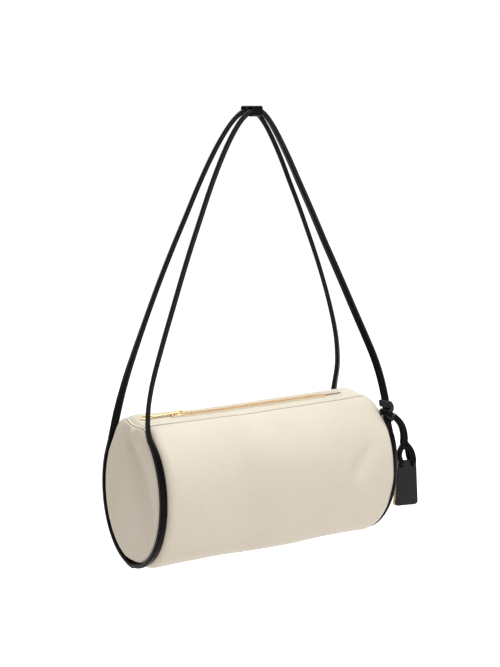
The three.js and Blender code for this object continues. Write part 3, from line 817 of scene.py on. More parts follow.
class PathTree(Nodes):
    """A node tree that works along a guide line."""

    def __init__(self, name: str, sizes: dict[str, str]) -> None:
        """Makes the tree with its named inputs.

        Args:
            name: Name of the tree.
            sizes: Socket types of its inputs besides the guide and the finish, by name.
        """
        super().__init__(bpy.data.node_groups.new(name, "GeometryNodeTree"))
        face = self.tree.interface
        face.new_socket("Guide", in_out="INPUT", socket_type="NodeSocketGeometry")
        self.keys = {label: face.new_socket(label, in_out="INPUT", socket_type=kind).identifier
                     for label, kind in {**sizes, "Finish": "NodeSocketMaterial"}.items()}
        face.new_socket("Made", in_out="OUTPUT", socket_type="NodeSocketGeometry")
        self.given = self.node("NodeGroupInput")

    def curve(self) -> NodeSocket:
        """Returns the guide as a curve."""
        return self.node("GeometryNodeMeshToCurve", None, {"Mesh": self.given.outputs["Guide"]}).outputs[0]

    def facing(self) -> NodeSocket:
        """Returns the direction that the guide's points face."""
        return self.node("GeometryNodeInputNamedAttribute", {"data_type": "FLOAT_VECTOR"},
                         {"Name": "facing"}).outputs["Attribute"]

    def end(self, made: NodeSocket) -> None:
        """Ends the tree with real geometry and its material.

        Args:
            made: What the tree has made.
        """
        real = self.node("GeometryNodeRealizeInstances", None, {"Geometry": made})
        dressed = self.node("GeometryNodeSetMaterial", None,
                            {"Geometry": real.outputs[0], "Material": self.given.outputs["Finish"]})
        self.node("NodeGroupOutput", None, {"Made": dressed.outputs[0]})

    def run(self, path: Array, facing: Array, values: dict[str, Any]) -> Mesh:
        """Runs the tree along a line.

        Args:
            path: The line's points in mm.
            facing: Which way each of them faces.
            values: The tree's inputs by name.

        Returns:
            The plain mesh that it makes.
        """
        mesh = bpy.data.meshes.new("guide")
        mesh.from_pydata(row(path).tolist(), [(i, i + 1) for i in range(len(path) - 1)], [])
        carry(mesh, "facing", unit(facing))
        guide = linked("guide", mesh)
        modifier = guide.modifiers.new("path", "NODES")
        modifier.node_group = self.tree
        for label, value in values.items():
            modifier[self.keys[label]] = value
        made = evaluated(guide)
        guide.modifiers.remove(modifier)
        bpy.data.objects.remove(guide)
        if "facing" in made.attributes:
            made.attributes.remove(made.attributes["facing"])
        return made


class Sweep(PathTree):
    """Draws a section along a guide line."""

    def __init__(self) -> None:
        """Builds the tree."""
        super().__init__("section along a line", {"Section": "NodeSocketObject"})
        turned = self.node("GeometryNodeSetCurveNormal", {"mode": "FREE"},
                           {"Curve": self.curve(), "Normal": self.facing()})
        section = self.node("GeometryNodeObjectInfo", None, {"Object": self.given.outputs["Section"]})
        ring = self.node("GeometryNodeMeshToCurve", None, {"Mesh": section.outputs["Geometry"]})
        swept = self.node("GeometryNodeCurveToMesh", None, {
            "Curve": turned.outputs[0], "Profile Curve": ring.outputs[0], "Fill Caps": True})
        self.end(swept.outputs[0])

    def along(self, name: str, path: Array, facing: Array, section: Array, edge: Array,
              finish: Finish) -> Object:
        """Makes one swept piece.

        Args:
            name: Name of the piece.
            path: Its middle line in mm.
            facing: Which way its face looks at each point.
            section: Closed ring of (depth, breadth) points in mm.
            edge: Edge share at each point of the section.
            finish: Its surface.

        Returns:
            The new object.
        """
        ring = bpy.data.meshes.new("section")
        flat = np.column_stack([section, np.zeros(len(section))]) * MM
        ring.from_pydata(flat.tolist(), [(i, (i + 1) % len(flat)) for i in range(len(flat))], [])
        carry(ring, "edge", edge)
        holder = linked("section", ring)
        mesh = self.run(path, facing, {"Section": holder, "Finish": finish.material()})
        bpy.data.objects.remove(holder)
        return shown(name, mesh, finish)


class Repeat(PathTree):
    """Sets one small shape at even steps along a guide line."""

    def __init__(self) -> None:
        """Builds the tree."""
        super().__init__("shape in steps", {"Shape": "NodeSocketObject", "Pitch": "NodeSocketFloat"})
        steps = self.node("GeometryNodeResampleCurve", {"mode": "LENGTH"},
                          {"Curve": self.curve(), "Length": self.given.outputs["Pitch"]})
        way = self.node("GeometryNodeInputTangent")
        ahead = self.node("FunctionNodeAlignRotationToVector", {"axis": "X"}, {"Vector": way.outputs[0]})
        turned = self.node("FunctionNodeAlignRotationToVector", {"axis": "Z", "pivot_axis": "X"},
                           {"Rotation": ahead.outputs[0], "Vector": self.facing()})
        shape = self.node("GeometryNodeObjectInfo", None, {"Object": self.given.outputs["Shape"]})
        each = self.node("GeometryNodeInstanceOnPoints", None, {
            "Points": steps.outputs[0], "Instance": shape.outputs["Geometry"], "Rotation": turned.outputs[0]})
        self.end(each.outputs[0])

    def along(self, name: str, path: Array, shape: Solid, pitch: float, finish: Finish,
              crease: float) -> Object:
        """Makes one piece of a shape that repeats, upright, along a line.

        Args:
            name: Name of the piece.
            path: The line's points in mm.
            shape: The small shape, in mm about its own middle.
            pitch: Step in mm.
            finish: Its surface.
            crease: Angle in degrees past which an edge is sharp.

        Returns:
            The new object.
        """
        mesh = bpy.data.meshes.new("shape")
        mesh.from_pydata((shape.points * MM).tolist(), [], shape.faces)
        holder = linked("shape", mesh)
        values = {"Shape": holder, "Pitch": pitch * MM * 0.9999, "Finish": finish.material()}
        made = self.run(path, np.tile(UP, (len(path), 1)), values)
        bpy.data.objects.remove(holder)
        return shown(name, made, finish, crease)


def together(name: str, parts: Sequence[Object], finish: Finish) -> Object:
    """Joins objects of one finish into one piece.

    Args:
        name: Name of the piece.
        parts: The objects, which are removed.
        finish: Their surface.

    Returns:
        The new object.
    """
    work = bmesh.new()
    for part in parts:
        work.from_mesh(part.data)
        bpy.data.objects.remove(part)
    whole = bpy.data.meshes.new(name)
    work.to_mesh(whole)
    work.free()
    return shown(name, whole, finish)


def stitch(length: float, width: float, height: float, slant: float = 0.12) -> Solid:
    """Makes one stitch: a short rounded bead of thread, slightly aslant.

    Args:
        length: Length along the seam in mm.
        width: Width.
        height: How far it stands up.
        slant: Sideways shift over its length.

    Returns:
        The bead.
    """
    u, full = np.array([(-0.5, 0.35), (-0.32, 0.9), (0.0, 1.0), (0.32, 0.9), (0.5, 0.35)]).T[:, :, None]
    a = around(6)[None, :]
    y = full * width / 2 * np.cos(a) + slant * u * length
    z = full * height / 2 * np.sin(a) + 0.15 * height * (1 - 4 * u * u)
    return loft(np.stack([np.broadcast_to(u * length, y.shape), y, z], -1))


def settle(obj: Object, body: Body, slot: Slot, *nodes: str) -> Object:
    """Lets a piece ride on a body and stand for CAD nodes.

    Args:
        obj: The piece.
        body: The body that it moves with.
        slot: Its material slot.
        nodes: The CAD nodes that it stands for.

    Returns:
        The piece.
    """
    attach(obj, body.value)
    return stand_for(obj, slot, *nodes)


def stand_for(obj: Object, slot: Slot, *nodes: str) -> Object:
    """Hides the CAD nodes that a piece stands for, and reports its number of faces.

    Args:
        obj: The piece.
        slot: Its material slot; not used.
        nodes: The CAD nodes that it stands for.

    Returns:
        The piece.
    """
    if nodes:
        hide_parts(*nodes)
    log.info("%s: %d faces", obj.name, len(obj.data.polygons))
    return obj


@dataclass(frozen=True)
class BarrelForm:
    """The barrel's outer form: an oval section that draws in at both ends, soft and slightly dented.

    swells are soft waves all over: height, wavelength and pattern. leans are rises of the top: height, place
    across and breadth. hollows are dents of the front: place, height, breadth, length, depth and lean in
    degrees. corner_lift is how far a corner of the top stands up, and over how many degrees that fades.
    """

    half_length: float = 138.0
    band: dict[Side, float] = by_side(6.6, 3.8)
    swell_length: dict[Side, float] = by_side(16.0, 13.0)
    swell_power: float = 2.3
    half_width: float = 62.0
    half_height: float = 74.0
    ends: dict[Side, tuple[float, float]] = by_side((52.0, 67.0), (57.0, 67.5))
    base_flat: float = 2.2
    base_press: float = 0.6
    roll: float = 3.5
    top_roll: dict[Side, float] = by_side(5.5, 2.0)
    zip_ends: dict[Side, float] = by_side(-94.0, 110.0)
    seam_gap: float = 0.22
    seam_turn: float = 0.8
    seam_wave: float = 0.22
    front_seam: float = -21.5
    front_slant: dict[Side, float] = by_side(0.005, 0.025)
    front_draw: dict[Side, float] = by_side(6.0, 3.0)
    rear_seam: float = 20.0
    rear_draw: float = 3.0
    swells: tuple[tuple[float, float, int], ...] = ((0.55, 120.0, 3), (0.22, 52.0, 8))
    leans: tuple[Vec, ...] = ((2.4, 16.0, 10.0), (-2.1, -6.0, 8.0))
    sag: float = 3.5
    sag_place: float = -48.0
    sag_reach: tuple[float, float] = (62.0, 85.0)
    hollows: tuple[tuple[float, ...], ...] = (
        (92.0, 12.0, 7.0, 20.0, 3.7, 35.0), (83.0, 8.0, 13.0, 26.0, 1.3, 0.0),
        (-40.0, -30.0, 30.0, 20.0, 1.2, 0.0), (20.0, 6.0, 46.0, 16.0, 0.8, 0.0))
    corner_lift: dict[tuple[Side, Face], tuple[float, float]] = field(default_factory=lambda: {
        (Side.LEFT, Face.FRONT): (3.2, 9.0), (Side.LEFT, Face.REAR): (7.6, 24.0),
        (Side.RIGHT, Face.FRONT): (0.6, 20.0), (Side.RIGHT, Face.REAR): (2.6, 22.0)})

    def nearer(self, table: dict[Side, float], x: Array) -> Array:
        """Returns a table's value for the end that is nearer to places x."""
        return np.where(np.asarray(x) < 0, table[Side.LEFT], table[Side.RIGHT])

    def inside(self, x: Array) -> Array:
        """Returns how far places along the barrel lie inside the band that is sewn to the nearer end."""
        return self.half_length - self.nearer(self.band, x) - np.abs(x)

    def swell(self, x: Array) -> Array:
        """Returns 0 at the sewn ends and 1 along the full barrel."""
        near = np.clip(self.inside(x) / self.nearer(self.swell_length, x), 0, 1)
        return np.sqrt(1 - (1 - near) ** self.swell_power)

    def radii(self, x: Array) -> tuple[Array, Array]:
        """Gives the section's size.

        Args:
            x: Places along the barrel.

        Returns:
            Half widths and half heights in mm.
        """
        full = self.swell(x)
        ends = [np.where(np.asarray(x) < 0, a, b) for a, b in zip(*(self.ends[side] for side in Side))]
        return tuple(e + (m - e) * full for e, m in zip(ends, (self.half_width, self.half_height)))

    def seam(self, face: Face, x: Array) -> Array:
        """Gives the line of a top seam.

        Args:
            face: Front or rear.
            x: Places along the barrel.

        Returns:
            Its Y at each place.
        """
        x = np.asarray(x, float)
        drawn = 1 - self.swell(x)
        if face is Face.REAR:
            return self.rear_seam + self.seam_wave * np.sin(x / 19.0 + 1.0) - self.rear_draw * drawn
        place = self.front_seam + x * self.nearer(self.front_slant, x)
        return place + self.seam_wave * np.sin(x / 17.0) + drawn * self.nearer(self.front_draw, x)

    def rim(self, side: Side, theta: Array) -> Array:
        """Returns how far down the end panel its edge rolls, at angles in degrees from the top."""
        return self.roll + self.top_roll[side] * (1 - smooth((np.abs(theta) - 22.0) / 30.0))

    def crown(self, x: Array, y: Array, theta: Array) -> Array:
        """Returns how far the top stands above a plain oval.

        Args:
            x: Places along the barrel.
            y: Places across it.
            theta: Angles from the top, in degrees.

        Returns:
            Heights in mm: lower before the zip, higher behind it, and lifted at the ends' corners.
        """
        full = self.swell(x)
        lean = sum(rise * bell(y, place, wide) for rise, place, wide in self.leans)
        dip = -1.1 * bell(x, -113.0, 13.0) * bell(y, -1.0, 7.0)
        reach = np.where(x < self.sag_place, *self.sag_reach)
        slack = bell(x, self.sag_place, reach) * smooth((y + 36) / 30) * smooth((60 - y) / 35)
        out = lean * (0.25 + 0.75 * full) + dip - self.sag * slack
        for (side, face), (rise, fade) in self.corner_lift.items():
            here = (np.sign(x) == side.value) & (np.sign(y) == face.value)
            bump = smooth((theta - 2) / 22) * (1 - smooth((theta - 27) / fade))
            out = out + np.where(here, rise * (1 - full) * bump, 0.0)
        return out * (theta < 75)

    def dents(self, x: Array, y: Array, z: Array) -> Array:
        """Gives how far the soft leather stands out or in.

        Args:
            x: X of the points.
            y: Y of the points.
            z: Z of the points.

        Returns:
            Heights in mm, outwards positive.
        """
        near = self.inside(x)
        out = sum(rise * ripple(x, y, z, length, seed) for rise, length, seed in self.swells)
        out = out * smooth(near / 22.0)
        girth = np.arctan2(y, -z) * self.half_width
        tucks = 0.34 * ripple(girth, girth * 0, x * 0.25, 19.0, 21, 6) * bell(near, 5.0, 6.0)
        out = out + (tucks + 0.8 * bell(near, 5.0, 4.5)) * smooth((58.0 - z) / 14.0)
        for place, height, wide, tall, deep, lean in self.hollows:
            c, s = math.cos(math.radians(lean)), math.sin(math.radians(lean))
            across = (x - place) * c - (z - height) * s
            along = (x - place) * s + (z - height) * c
            out = out - deep * bell(across, 0.0, wide) * bell(along, 0.0, tall) * (y < 0)
        return out

    def point(self, x: Array, a: Array, inset: float = 0.0) -> Array:
        """Gives points of the outer form.

        Args:
            x: Places along the barrel.
            a: Angles from straight down, towards the rear.
            inset: How far inside the surface.

        Returns:
            Points in mm.
        """
        x, a = np.broadcast_arrays(np.asarray(x, float), np.asarray(a, float))
        ry, rz = self.radii(x)
        s, c = np.sin(a), -np.cos(a)
        y, z = ry * s, rz * c
        z = z + self.base_press * np.maximum(-z - (rz - self.base_flat), 0)
        theta = np.degrees(np.arccos(np.clip(c, -1, 1)))
        n = unit(np.stack([s / ry, c / rz], -1))
        out = self.dents(x, y, z) - inset
        return np.stack([x, y + n[..., 0] * out, z + n[..., 1] * out + self.crown(x, y, theta)], -1)

    def top(self, x: Array, y: Array, inset: float = 0.0) -> Array:
        """Gives points of the top at places x and y."""
        x, y = np.broadcast_arrays(np.asarray(x, float), np.asarray(y, float))
        return self.point(x, math.pi - np.arcsin(y / self.radii(x)[0]), inset)

    def height(self, x: float) -> float:
        """Returns the height of the top's middle line at one place."""
        return float(self.top(np.array([x]), np.array([0.0]))[0, 2])


@dataclass
class Barrel:
    """The soft leather barrel: wrap, end panels, top ends and lining."""

    form: BarrelForm
    wrap_end: float = 134.3
    wrap_girth: float = 390.0
    top_width: float = 42.0
    wrap_leather: float = 2.2
    panel_leather: float = 2.0
    top_leather: float = 1.8
    cloth: float = 0.8
    turned: float = 0.7
    turned_in: float = 6.0
    turned_out: float = 3.0
    dish: float = 3.2
    rim_drop: float = 0.55
    lining_end: float = 132.0
    lining_inset: float = 3.1
    lining_end_inset: float = 4.4

    def build(self) -> None:
        """Makes and settles every piece of the barrel."""
        wrap = self.wrap().plus(self.turned_edge(Face.FRONT)).plus(self.turned_edge(Face.REAR))
        settle(wrap.made("barrel_wrap", CREAM), Body.BAG, Slot.CREAM, "body_wrap")
        for side in Side:
            word = side.word
            panel = self.round_end(side, self.panel_leather)
            settle(panel.made(f"end_panel_soft_{word}", CREAM), Body.BAG, Slot.CREAM, f"end_panel_{word}")
            top = self.top_end(side)
            settle(top.made(f"top_end_soft_{word}", CREAM), Body.BAG, Slot.CREAM, f"top_end_{word}")
            inner = self.round_end(side, self.cloth, self.lining_end_inset, True)
            inner = inner.made(f"lining_cloth_end_{word}", LINING)
            settle(inner, Body.BAG, Slot.LINING, f"lining_end_{word}")
        settle(self.lining().made("lining_cloth_wrap", LINING), Body.BAG, Slot.LINING, "lining_wrap")

    def sheet(self, x: Array, v: Array, gap: float, inset: float = 0.0) -> Array:
        """Gives a sheet that runs under the barrel from one top seam to the other.

        Args:
            x: Places along the barrel.
            v: Shares of the way round.
            gap: How far down the barrel from the seams it starts and ends.
            inset: How far inside the form it lies.

        Returns:
            Its points in mm.
        """
        ry = self.form.radii(x)[0] - inset
        reach = [np.arcsin((face.value * self.form.seam(face, x) + gap) / ry) for face in Face]
        return self.form.point(x[:, None], ruled(reach[0] - math.pi, math.pi - reach[1], v), inset)

    def wrap(self) -> Solid:
        """Makes the sheet from the front top seam under the barrel to the rear one.

        Returns:
            The sheet.
        """
        x = graded(2 * self.wrap_end, (0, 0.12, 0.3, 0.6, 1.2), 26, 1.0, 3.0) - self.wrap_end
        v = graded(self.wrap_girth, (0, 0.1, 0.25, 0.55, 1.1), 12, 1.6, 2.9) / self.wrap_girth
        return slab(self.sheet(x, v, self.form.seam_gap), self.wrap_leather, turn=self.form.seam_turn)

    def turned_edge(self, face: Face) -> Solid:
        """Makes the wrap's edge where it is turned in under the strip beside the zip.

        Args:
            face: Front or rear.

        Returns:
            The edge.
        """
        x = np.linspace(*self.form.zip_ends.values(), 69)
        reach = face.value * np.linspace(self.turned_out, -self.turned_in, 13)
        y = self.form.seam(face, x)[:, None] + reach[None, :]
        return slab(self.form.top(x[:, None], y, self.wrap_leather + 0.05), self.turned)

    def top_end(self, side: Side) -> Solid:
        """Makes the top panel's end beyond the zip.

        Args:
            side: Which end.

        Returns:
            The leather.
        """
        low, high = sorted((side.value * self.wrap_end, self.form.zip_ends[side]))
        x = low + graded(high - low, FINE, 8, 0.8, 1.5)
        v = graded(self.top_width, FINE, 4, 0.8, 1.4) / self.top_width
        y = ruled(*(self.form.seam(face, x) - face.value * self.form.seam_gap for face in Face), v)
        soft = (side is Side.LEFT, side is Side.RIGHT)
        return slab(self.form.top(x[:, None], y), self.top_leather, soft, turn=self.form.seam_turn)

    def folds(self, side: Side, y: Array, z: Array) -> Array:
        """Gives the end panel's soft folds.

        Args:
            side: Which end.
            y: Y of the points.
            z: Z of the points.

        Returns:
            Heights in mm, outwards positive.
        """
        y = -side.value * y
        line = y + 10.0 - 0.5 * (z - 22.0)
        valley = -5.0 * bell(line, 0.0, 12.0) * smooth((62.0 - z) / 22) * smooth((z + 62.0) / 34)
        hollow = -0.9 * bell(y, 27.0, 9.0) * bell(z, 6.0, 28.0)
        return (1.0 if side is Side.LEFT else 0.7) * (valley + hollow) + 0.25 * ripple(y, z, z * 0, 34.0, 5)

    def pleats(self, side: Side, y: Array, z: Array) -> Array:
        """Gives the gathers just below the end panel's top edge.

        Args:
            side: Which end.
            y: Y of the points.
            z: Z of the points.

        Returns:
            Heights in mm, outwards positive.
        """
        if side is Side.RIGHT:
            return 0 * y
        gathers = ((-3.2, 6.5, 4.8), (-1.3, -11.0, 5.0), (1.4, -2.5, 4.4), (0.9, 17.0, 5.0))
        high = smooth((z - 32.0) / 18) * smooth((67.0 - z) / 7)
        return sum(rise * bell(y, place, wide) for rise, place, wide in gathers) * high

    def panel_grid(self, side: Side, inset: float, plain: bool) -> Array:
        """Gives a round end's outer face.

        Args:
            side: Which end.
            inset: How far the whole face lies inside the leather.
            plain: Whether to leave out the rolled rim.

        Returns:
            Points round the rim and in to the middle.
        """
        a = around(180) - math.pi
        theta = 180 - np.degrees(np.abs(a))
        roll = self.form.rim(side, theta)
        face = self.form.half_length
        seen = 1 - smooth((np.where(a < 0, theta - 20.0, theta) - 10.0) / 12.0)
        # Lowering the left panel's rim shows the top end's brown edge colour as the seam's dark line, which
        # is partly painted shade.
        low = 0.0 if plain or side is Side.RIGHT else self.rim_drop * seen
        rim = self.form.point(np.full(len(a), side.value * (face - self.form.roll)), a, inset + low)
        size = np.linalg.norm(rim[:, 1:], axis=1)
        turns = [] if plain else np.radians([0, 4, 10, 18, 27, 36, 45, 54, 63, 72, 81, 90])
        rows = [(face - self.form.roll * (1 - math.sin(t)), 1 - roll * (1 - math.cos(t)) / size)
                for t in turns]
        start = np.ones(len(a)) if plain else 1 - roll / size
        rows += [(face - inset, start * share) for share in np.linspace(1.0, 0.03, 34)[0 if plain else 1:]]
        out = []
        for place, scale in rows:
            y, z = rim[:, 1] * scale, rim[:, 2] * scale
            depth = self.dish * (1 - np.minimum(scale / start, 1) ** 2)
            soft = self.folds(side, y, z) * smooth((1 - scale) * 3.4)
            soft = soft + self.pleats(side, y, z) * smooth((1 - scale) * 16)
            out.append(np.stack([side.value * (place - depth + soft), y, z], -1))
        return np.stack(out, 1)

    def round_end(self, side: Side, thickness: float, inset: float = 0.0, plain: bool = False) -> Solid:
        """Returns a round end: the panel with its rolled rim and folds, or the plain lining inside it."""
        grid = self.panel_grid(side, inset, plain)
        return slab(grid, thickness, disc=True, inward=np.array([-side.value, 0, 0]))

    def lining(self) -> Solid:
        """Makes the lining's wrap.

        Returns:
            The cloth.
        """
        x = np.linspace(-self.lining_end, self.lining_end, 67)
        net = self.sheet(x, np.linspace(0, 1, 91), 1.0, self.lining_inset)
        slack = 0.35 * ripple(net[..., 0], net[..., 1], net[..., 2], 26.0, 33)
        net[..., 1:] *= (1 - np.abs(slack) / 70.0)[..., None]
        return slab(net, self.cloth)


@dataclass
class Zip:
    """The zip with its leather strips, tapes, teeth, slider, pull and stops."""

    form: BarrelForm
    sewing: Repeat
    middle: float = 8.0
    slot: float = 4.2
    ease: dict[Side, float] = by_side(46.0, 20.0)
    strip_leather: float = 1.8
    strip_width: float = 16.0
    tape_cloth: float = 0.7
    tape_reach: tuple[float, float] = (13.0, 2.3)
    pitch: float = 2.8
    first_tooth: float = 1.4
    bare_end: float = 10.0
    tooth_half: float = 0.74
    tooth_rise: float = 1.75
    stitch_size: Vec = (2.1, 0.55, 0.5)
    stitch_pitch: float = 3.1
    stitch_inset: float = 2.1
    stitch_lift: float = 0.38
    closing: float = 0.9
    closing_place: float = 84.0
    end_sink: float = 2.6
    slider_x: float = -83.9
    slider_half: tuple[float, float] = (5.6, 3.9)
    slider_rise: float = 1.1
    slider_plates: tuple[tuple[float, float], ...] = ((0.0, 0.75), (-3.2, -2.4))
    slider_post: Vec = (-4.2, 0.9, 0.8)
    slider_rail: float = 0.8
    arch_half: float = 3.3
    arch_rise: float = 3.2
    arch_size: tuple[float, float] = (2.1, 0.9)
    metal_crease: float = 38.0
    tooth_crease: float = 35.0
    stitch_crease: float = 80.0
    pin_height: float = 75.64
    pull_eye: tuple[float, ...] = (-1.6, 2.5, 1.9, 1.2, 1.1)
    pull_loop: tuple[float, ...] = (-35.7, 6.5, 3.1, 1.6, 1.4)
    pull_bar: tuple[float, float] = (-3.6, -29.6)
    pull_bar_size: tuple[float, float] = (3.1, 1.6)
    pull_droop: float = 2.2
    pull_drop: float = 2.2
    pull_roll: float = 14.0
    stop_places: tuple[Vec, ...] = ((-92.4, -1.4, 1.5), (-92.4, 1.4, 1.5), (108.4, 0.0, 3.4))

    def build(self) -> None:
        """Makes and settles every piece of the zip."""
        for face, body in ((Face.FRONT, Body.MOUTH_FRONT), (Face.REAR, Body.MOUTH_REAR)):
            for side in Side:
                row_word, end_word = face.word, side.word
                tail = f"{row_word}_{end_word}"
                strip = self.strip(face, side).made(f"top_strip_{tail}", CREAM)
                tape = self.tape(face, side).made(f"zip_tape_{tail}", TAPE)
                teeth = self.teeth(f"zip_teeth_{tail}", face, side)
                seam = self.stitches(f"zip_stitches_{tail}", face, side)
                for piece, slot, nodes in (
                        (strip, Slot.CREAM, [f"top_strip_{row_word}"]),
                        (tape, Slot.TAPE, [f"zip_tape_{row_word}", f"zip_tape_{end_word}_end"]),
                        (teeth, Slot.BRASS, [f"zip_teeth_{row_word}"]), (seam, Slot.CREAM, [])):
                    self.opening(piece)
                    stand_for(piece, slot, *nodes)
        settle(self.slider(), Body.SLIDER, Slot.BRASS, "zip_slider")
        settle(self.pull(), Body.PULL, Slot.BRASS, "zip_pull")
        stops = ("zip_top_stop_front", "zip_top_stop_rear", "zip_bottom_stop")
        settle(self.stops(), Body.BAG, Slot.BRASS, *stops)

    def opening(self, obj: Object) -> None:
        """Bakes a piece's place into its mesh.

        Args:
            obj: The piece.
        """
        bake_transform(obj)

    def span(self, side: Side) -> tuple[float, float]:
        """Returns where that half of the zip starts and ends."""
        low, high = sorted((self.form.zip_ends[side], self.middle))
        return low, high

    def ended(self, x: Array) -> Array:
        """Returns 0 along the open slot and 1 where the strips close over the zip's far end."""
        return smooth((x - self.closing_place) / 10.0)

    def sunk(self, x: Array) -> Array:
        """Returns how far the tape and teeth go down under the strips."""
        return self.end_sink * self.ended(x)

    def gap(self, x: Array) -> Array:
        """Returns half the width of the slot between the strips."""
        return (self.slot - self.closing) * (1 - self.ended(x)) + self.closing

    def strip(self, face: Face, side: Side) -> Solid:
        """Makes one half of a leather strip beside the zip.

        Args:
            face: Front or rear.
            side: Which half of it.

        Returns:
            The leather.
        """
        x = np.linspace(*self.span(side), 61)
        v = graded(self.strip_width, FINE, 3, 0.7, 1.0) / self.strip_width
        seam = self.form.seam(face, x) - face.value * self.form.seam_gap
        y = ruled(seam, face.value * (self.gap(x) + 0.12 * np.sin(x / 11.0)), v)
        net = self.form.top(x[:, None], y)
        net[..., 2] += 0.35 * bell(np.abs(y), 7.0, 2.2)
        return slab(net, self.strip_leather, (False, False), turn=self.form.seam_turn)

    def tape(self, face: Face, side: Side) -> Solid:
        """Makes one half of a zip tape, from under its strip to its teeth.

        Args:
            face: Front or rear.
            side: Which half of it.

        Returns:
            The cloth.
        """
        x = np.linspace(*self.span(side), 61)
        y = face.value * np.linspace(*self.tape_reach, 15)
        near = smooth((7.0 - np.abs(y)) / 3.5)[None, :]
        net = self.form.top(x[:, None], y[None, :])
        level = self.form.top(x, np.zeros(len(x)))[:, 2:] - self.sunk(x)[:, None] + 0.45
        net[..., 2] = (net[..., 2] - 2.3) * (1 - near) + level * near
        return slab(net, self.tape_cloth, (False, False))

    def tooth(self, face: Face) -> Solid:
        """Makes one tooth: a clamp on the tape and a rounded head over the middle line.

        Args:
            face: Front or rear row.

        Returns:
            The tooth, about its own middle.
        """
        stations = ((-2.9, 0.75, 0.8), (-2.6, 1.0, 1.0), (-0.9, 1.0, 1.0), (-0.5, 0.72, 0.95),
                    (0.1, 0.72, 0.95), (0.55, 0.95, 0.9), (0.9, 0.6, 0.55))
        outline = ((-1, -0.55), (-1, 0.45), (-0.6, 1), (0.6, 1), (1, 0.45), (1, -0.55))
        reach, wide, tall = np.array(stations).T[:, :, None]
        u, w = np.array(outline).T
        x, z = u * self.tooth_half * wide, w * self.tooth_rise * tall
        return loft(np.stack(np.broadcast_arrays(x, -face.value * reach, z), -1))

    def teeth(self, name: str, face: Face, side: Side) -> Object:
        """Makes one half of a row of teeth.

        Args:
            name: Name of the piece.
            face: Front or rear.
            side: Which half of it.

        Returns:
            The object.
        """
        start, end = self.form.zip_ends.values()
        first = start + self.first_tooth + (self.pitch / 2 if face is Face.REAR else 0)
        places = np.arange(first, end - self.bare_end, self.pitch)
        low, high = self.span(side)
        x = places[(places >= low) & (places < high)]
        path = self.form.top(x, np.zeros(len(x)))
        path[:, 2] -= self.sunk(x)
        return self.sewing.along(name, path, self.tooth(face), self.pitch, TEETH, self.tooth_crease)

    def stitches(self, name: str, face: Face, side: Side) -> Object:
        """Makes the sewing beside the zip on one half of a strip.

        Args:
            name: Name of the piece.
            face: Front or rear.
            side: Which half of it.

        Returns:
            The object.
        """
        low, high = self.span(side)
        x = np.arange(low + 2.0, high - 0.6, 1.0)
        path = self.form.top(x, face.value * (self.gap(x) + self.stitch_inset))
        path[:, 2] += self.stitch_lift
        return self.sewing.along(name, path, stitch(*self.stitch_size), self.stitch_pitch, CREAM_THREAD,
                                 self.stitch_crease)

    def plate(self, outline: Array, low: float, high: float, ease: float) -> Solid:
        """Makes a flat metal plate with eased edges.

        Args:
            outline: Its (x, y) outline, counter-clockwise, in mm.
            low: Height of its underside.
            high: Height of its top.
            ease: Rounding of its edges.

        Returns:
            The solid.
        """
        away = unit(outline - outline.mean(0)) * ease
        steps = ((low, 1), (low + 0.3 * ease, 0.3), (low + ease, 0))
        steps += ((high - ease, 0), (high - 0.3 * ease, 0.3), (high, 1))
        return loft(np.stack([np.column_stack([outline - away * drawn, np.full(len(outline), z)])
                              for z, drawn in steps]))

    def block(self, x: float, y: float, half_x: float, half_y: float) -> Array:
        """Returns the outline of a small oblong plate about a place."""
        return np.array([(-half_x, -half_y), (half_x, -half_y), (half_x, half_y), (-half_x, half_y)]) + (x, y)

    def slider(self) -> Object:
        """Makes the slider: two waisted plates, side rails and the arch for the pull.

        Returns:
            The object.
        """
        t = around(48)
        waist = 1 - 0.16 * np.cos(t) - 0.1 * np.cos(2 * t)
        outline = np.stack([self.slider_x + self.slider_half[0] * squared(t, 0.7)[0],
                            self.slider_half[1] * waist * squared(t, 0.62)[1]], 1)
        top = self.form.height(self.slider_x) + self.slider_rise
        upper, lower = (self.plate(outline, top + low, top + high, 0.25) for low, high in self.slider_plates)
        shift, *half = self.slider_post
        post = self.plate(self.block(self.slider_x + shift, 0, *half), top - 2.6, top + 0.2, 0.1)
        body = upper.plus(lower).plus(post)
        for y in (-1, 1):
            lip = outline[outline[:, 1] * y > 1.2]
            lip = lip[np.argsort(lip[:, 0])]
            inner = lip[::-1] - (0, y * self.slider_rail)
            rail = np.vstack([lip, inner]) if y < 0 else np.vstack([inner[::-1], lip[::-1]])
            body = body.plus(self.plate(rail, top - 1.5, top + 0.5, 0.12))
        a = np.linspace(0, math.pi, 25)
        rise = top + 0.5 + self.arch_rise * np.sin(a) ** 0.5
        arch = np.stack([self.slider_x - 0.2 + self.arch_half * np.cos(a), 0 * a, rise], 1)
        body = body.plus(self.bar(arch, np.stack([np.cos(a), 0 * a, np.sin(a)], 1), *self.arch_size))
        return body.made("zip_slider_brass", BRASS, self.metal_crease)

    def bar(self, path: Array, out: Array, width: float, thick: float) -> Solid:
        """Makes a rounded bar along a line that stays in its own plane.

        Args:
            path: Middle line in mm.
            out: The way its outer face looks.
            width: Width across the face.
            thick: Thickness.

        Returns:
            The solid.
        """
        along = tangents(path)
        across = unit(np.cross(along, out))
        up = unit(np.cross(across, along))
        u, v = squared(around(12), 0.55)
        u, v = (u * width / 2)[None, :, None], (v * thick / 2)[None, :, None]
        return loft(path[:, None] + across[:, None] * u + up[:, None] * v)

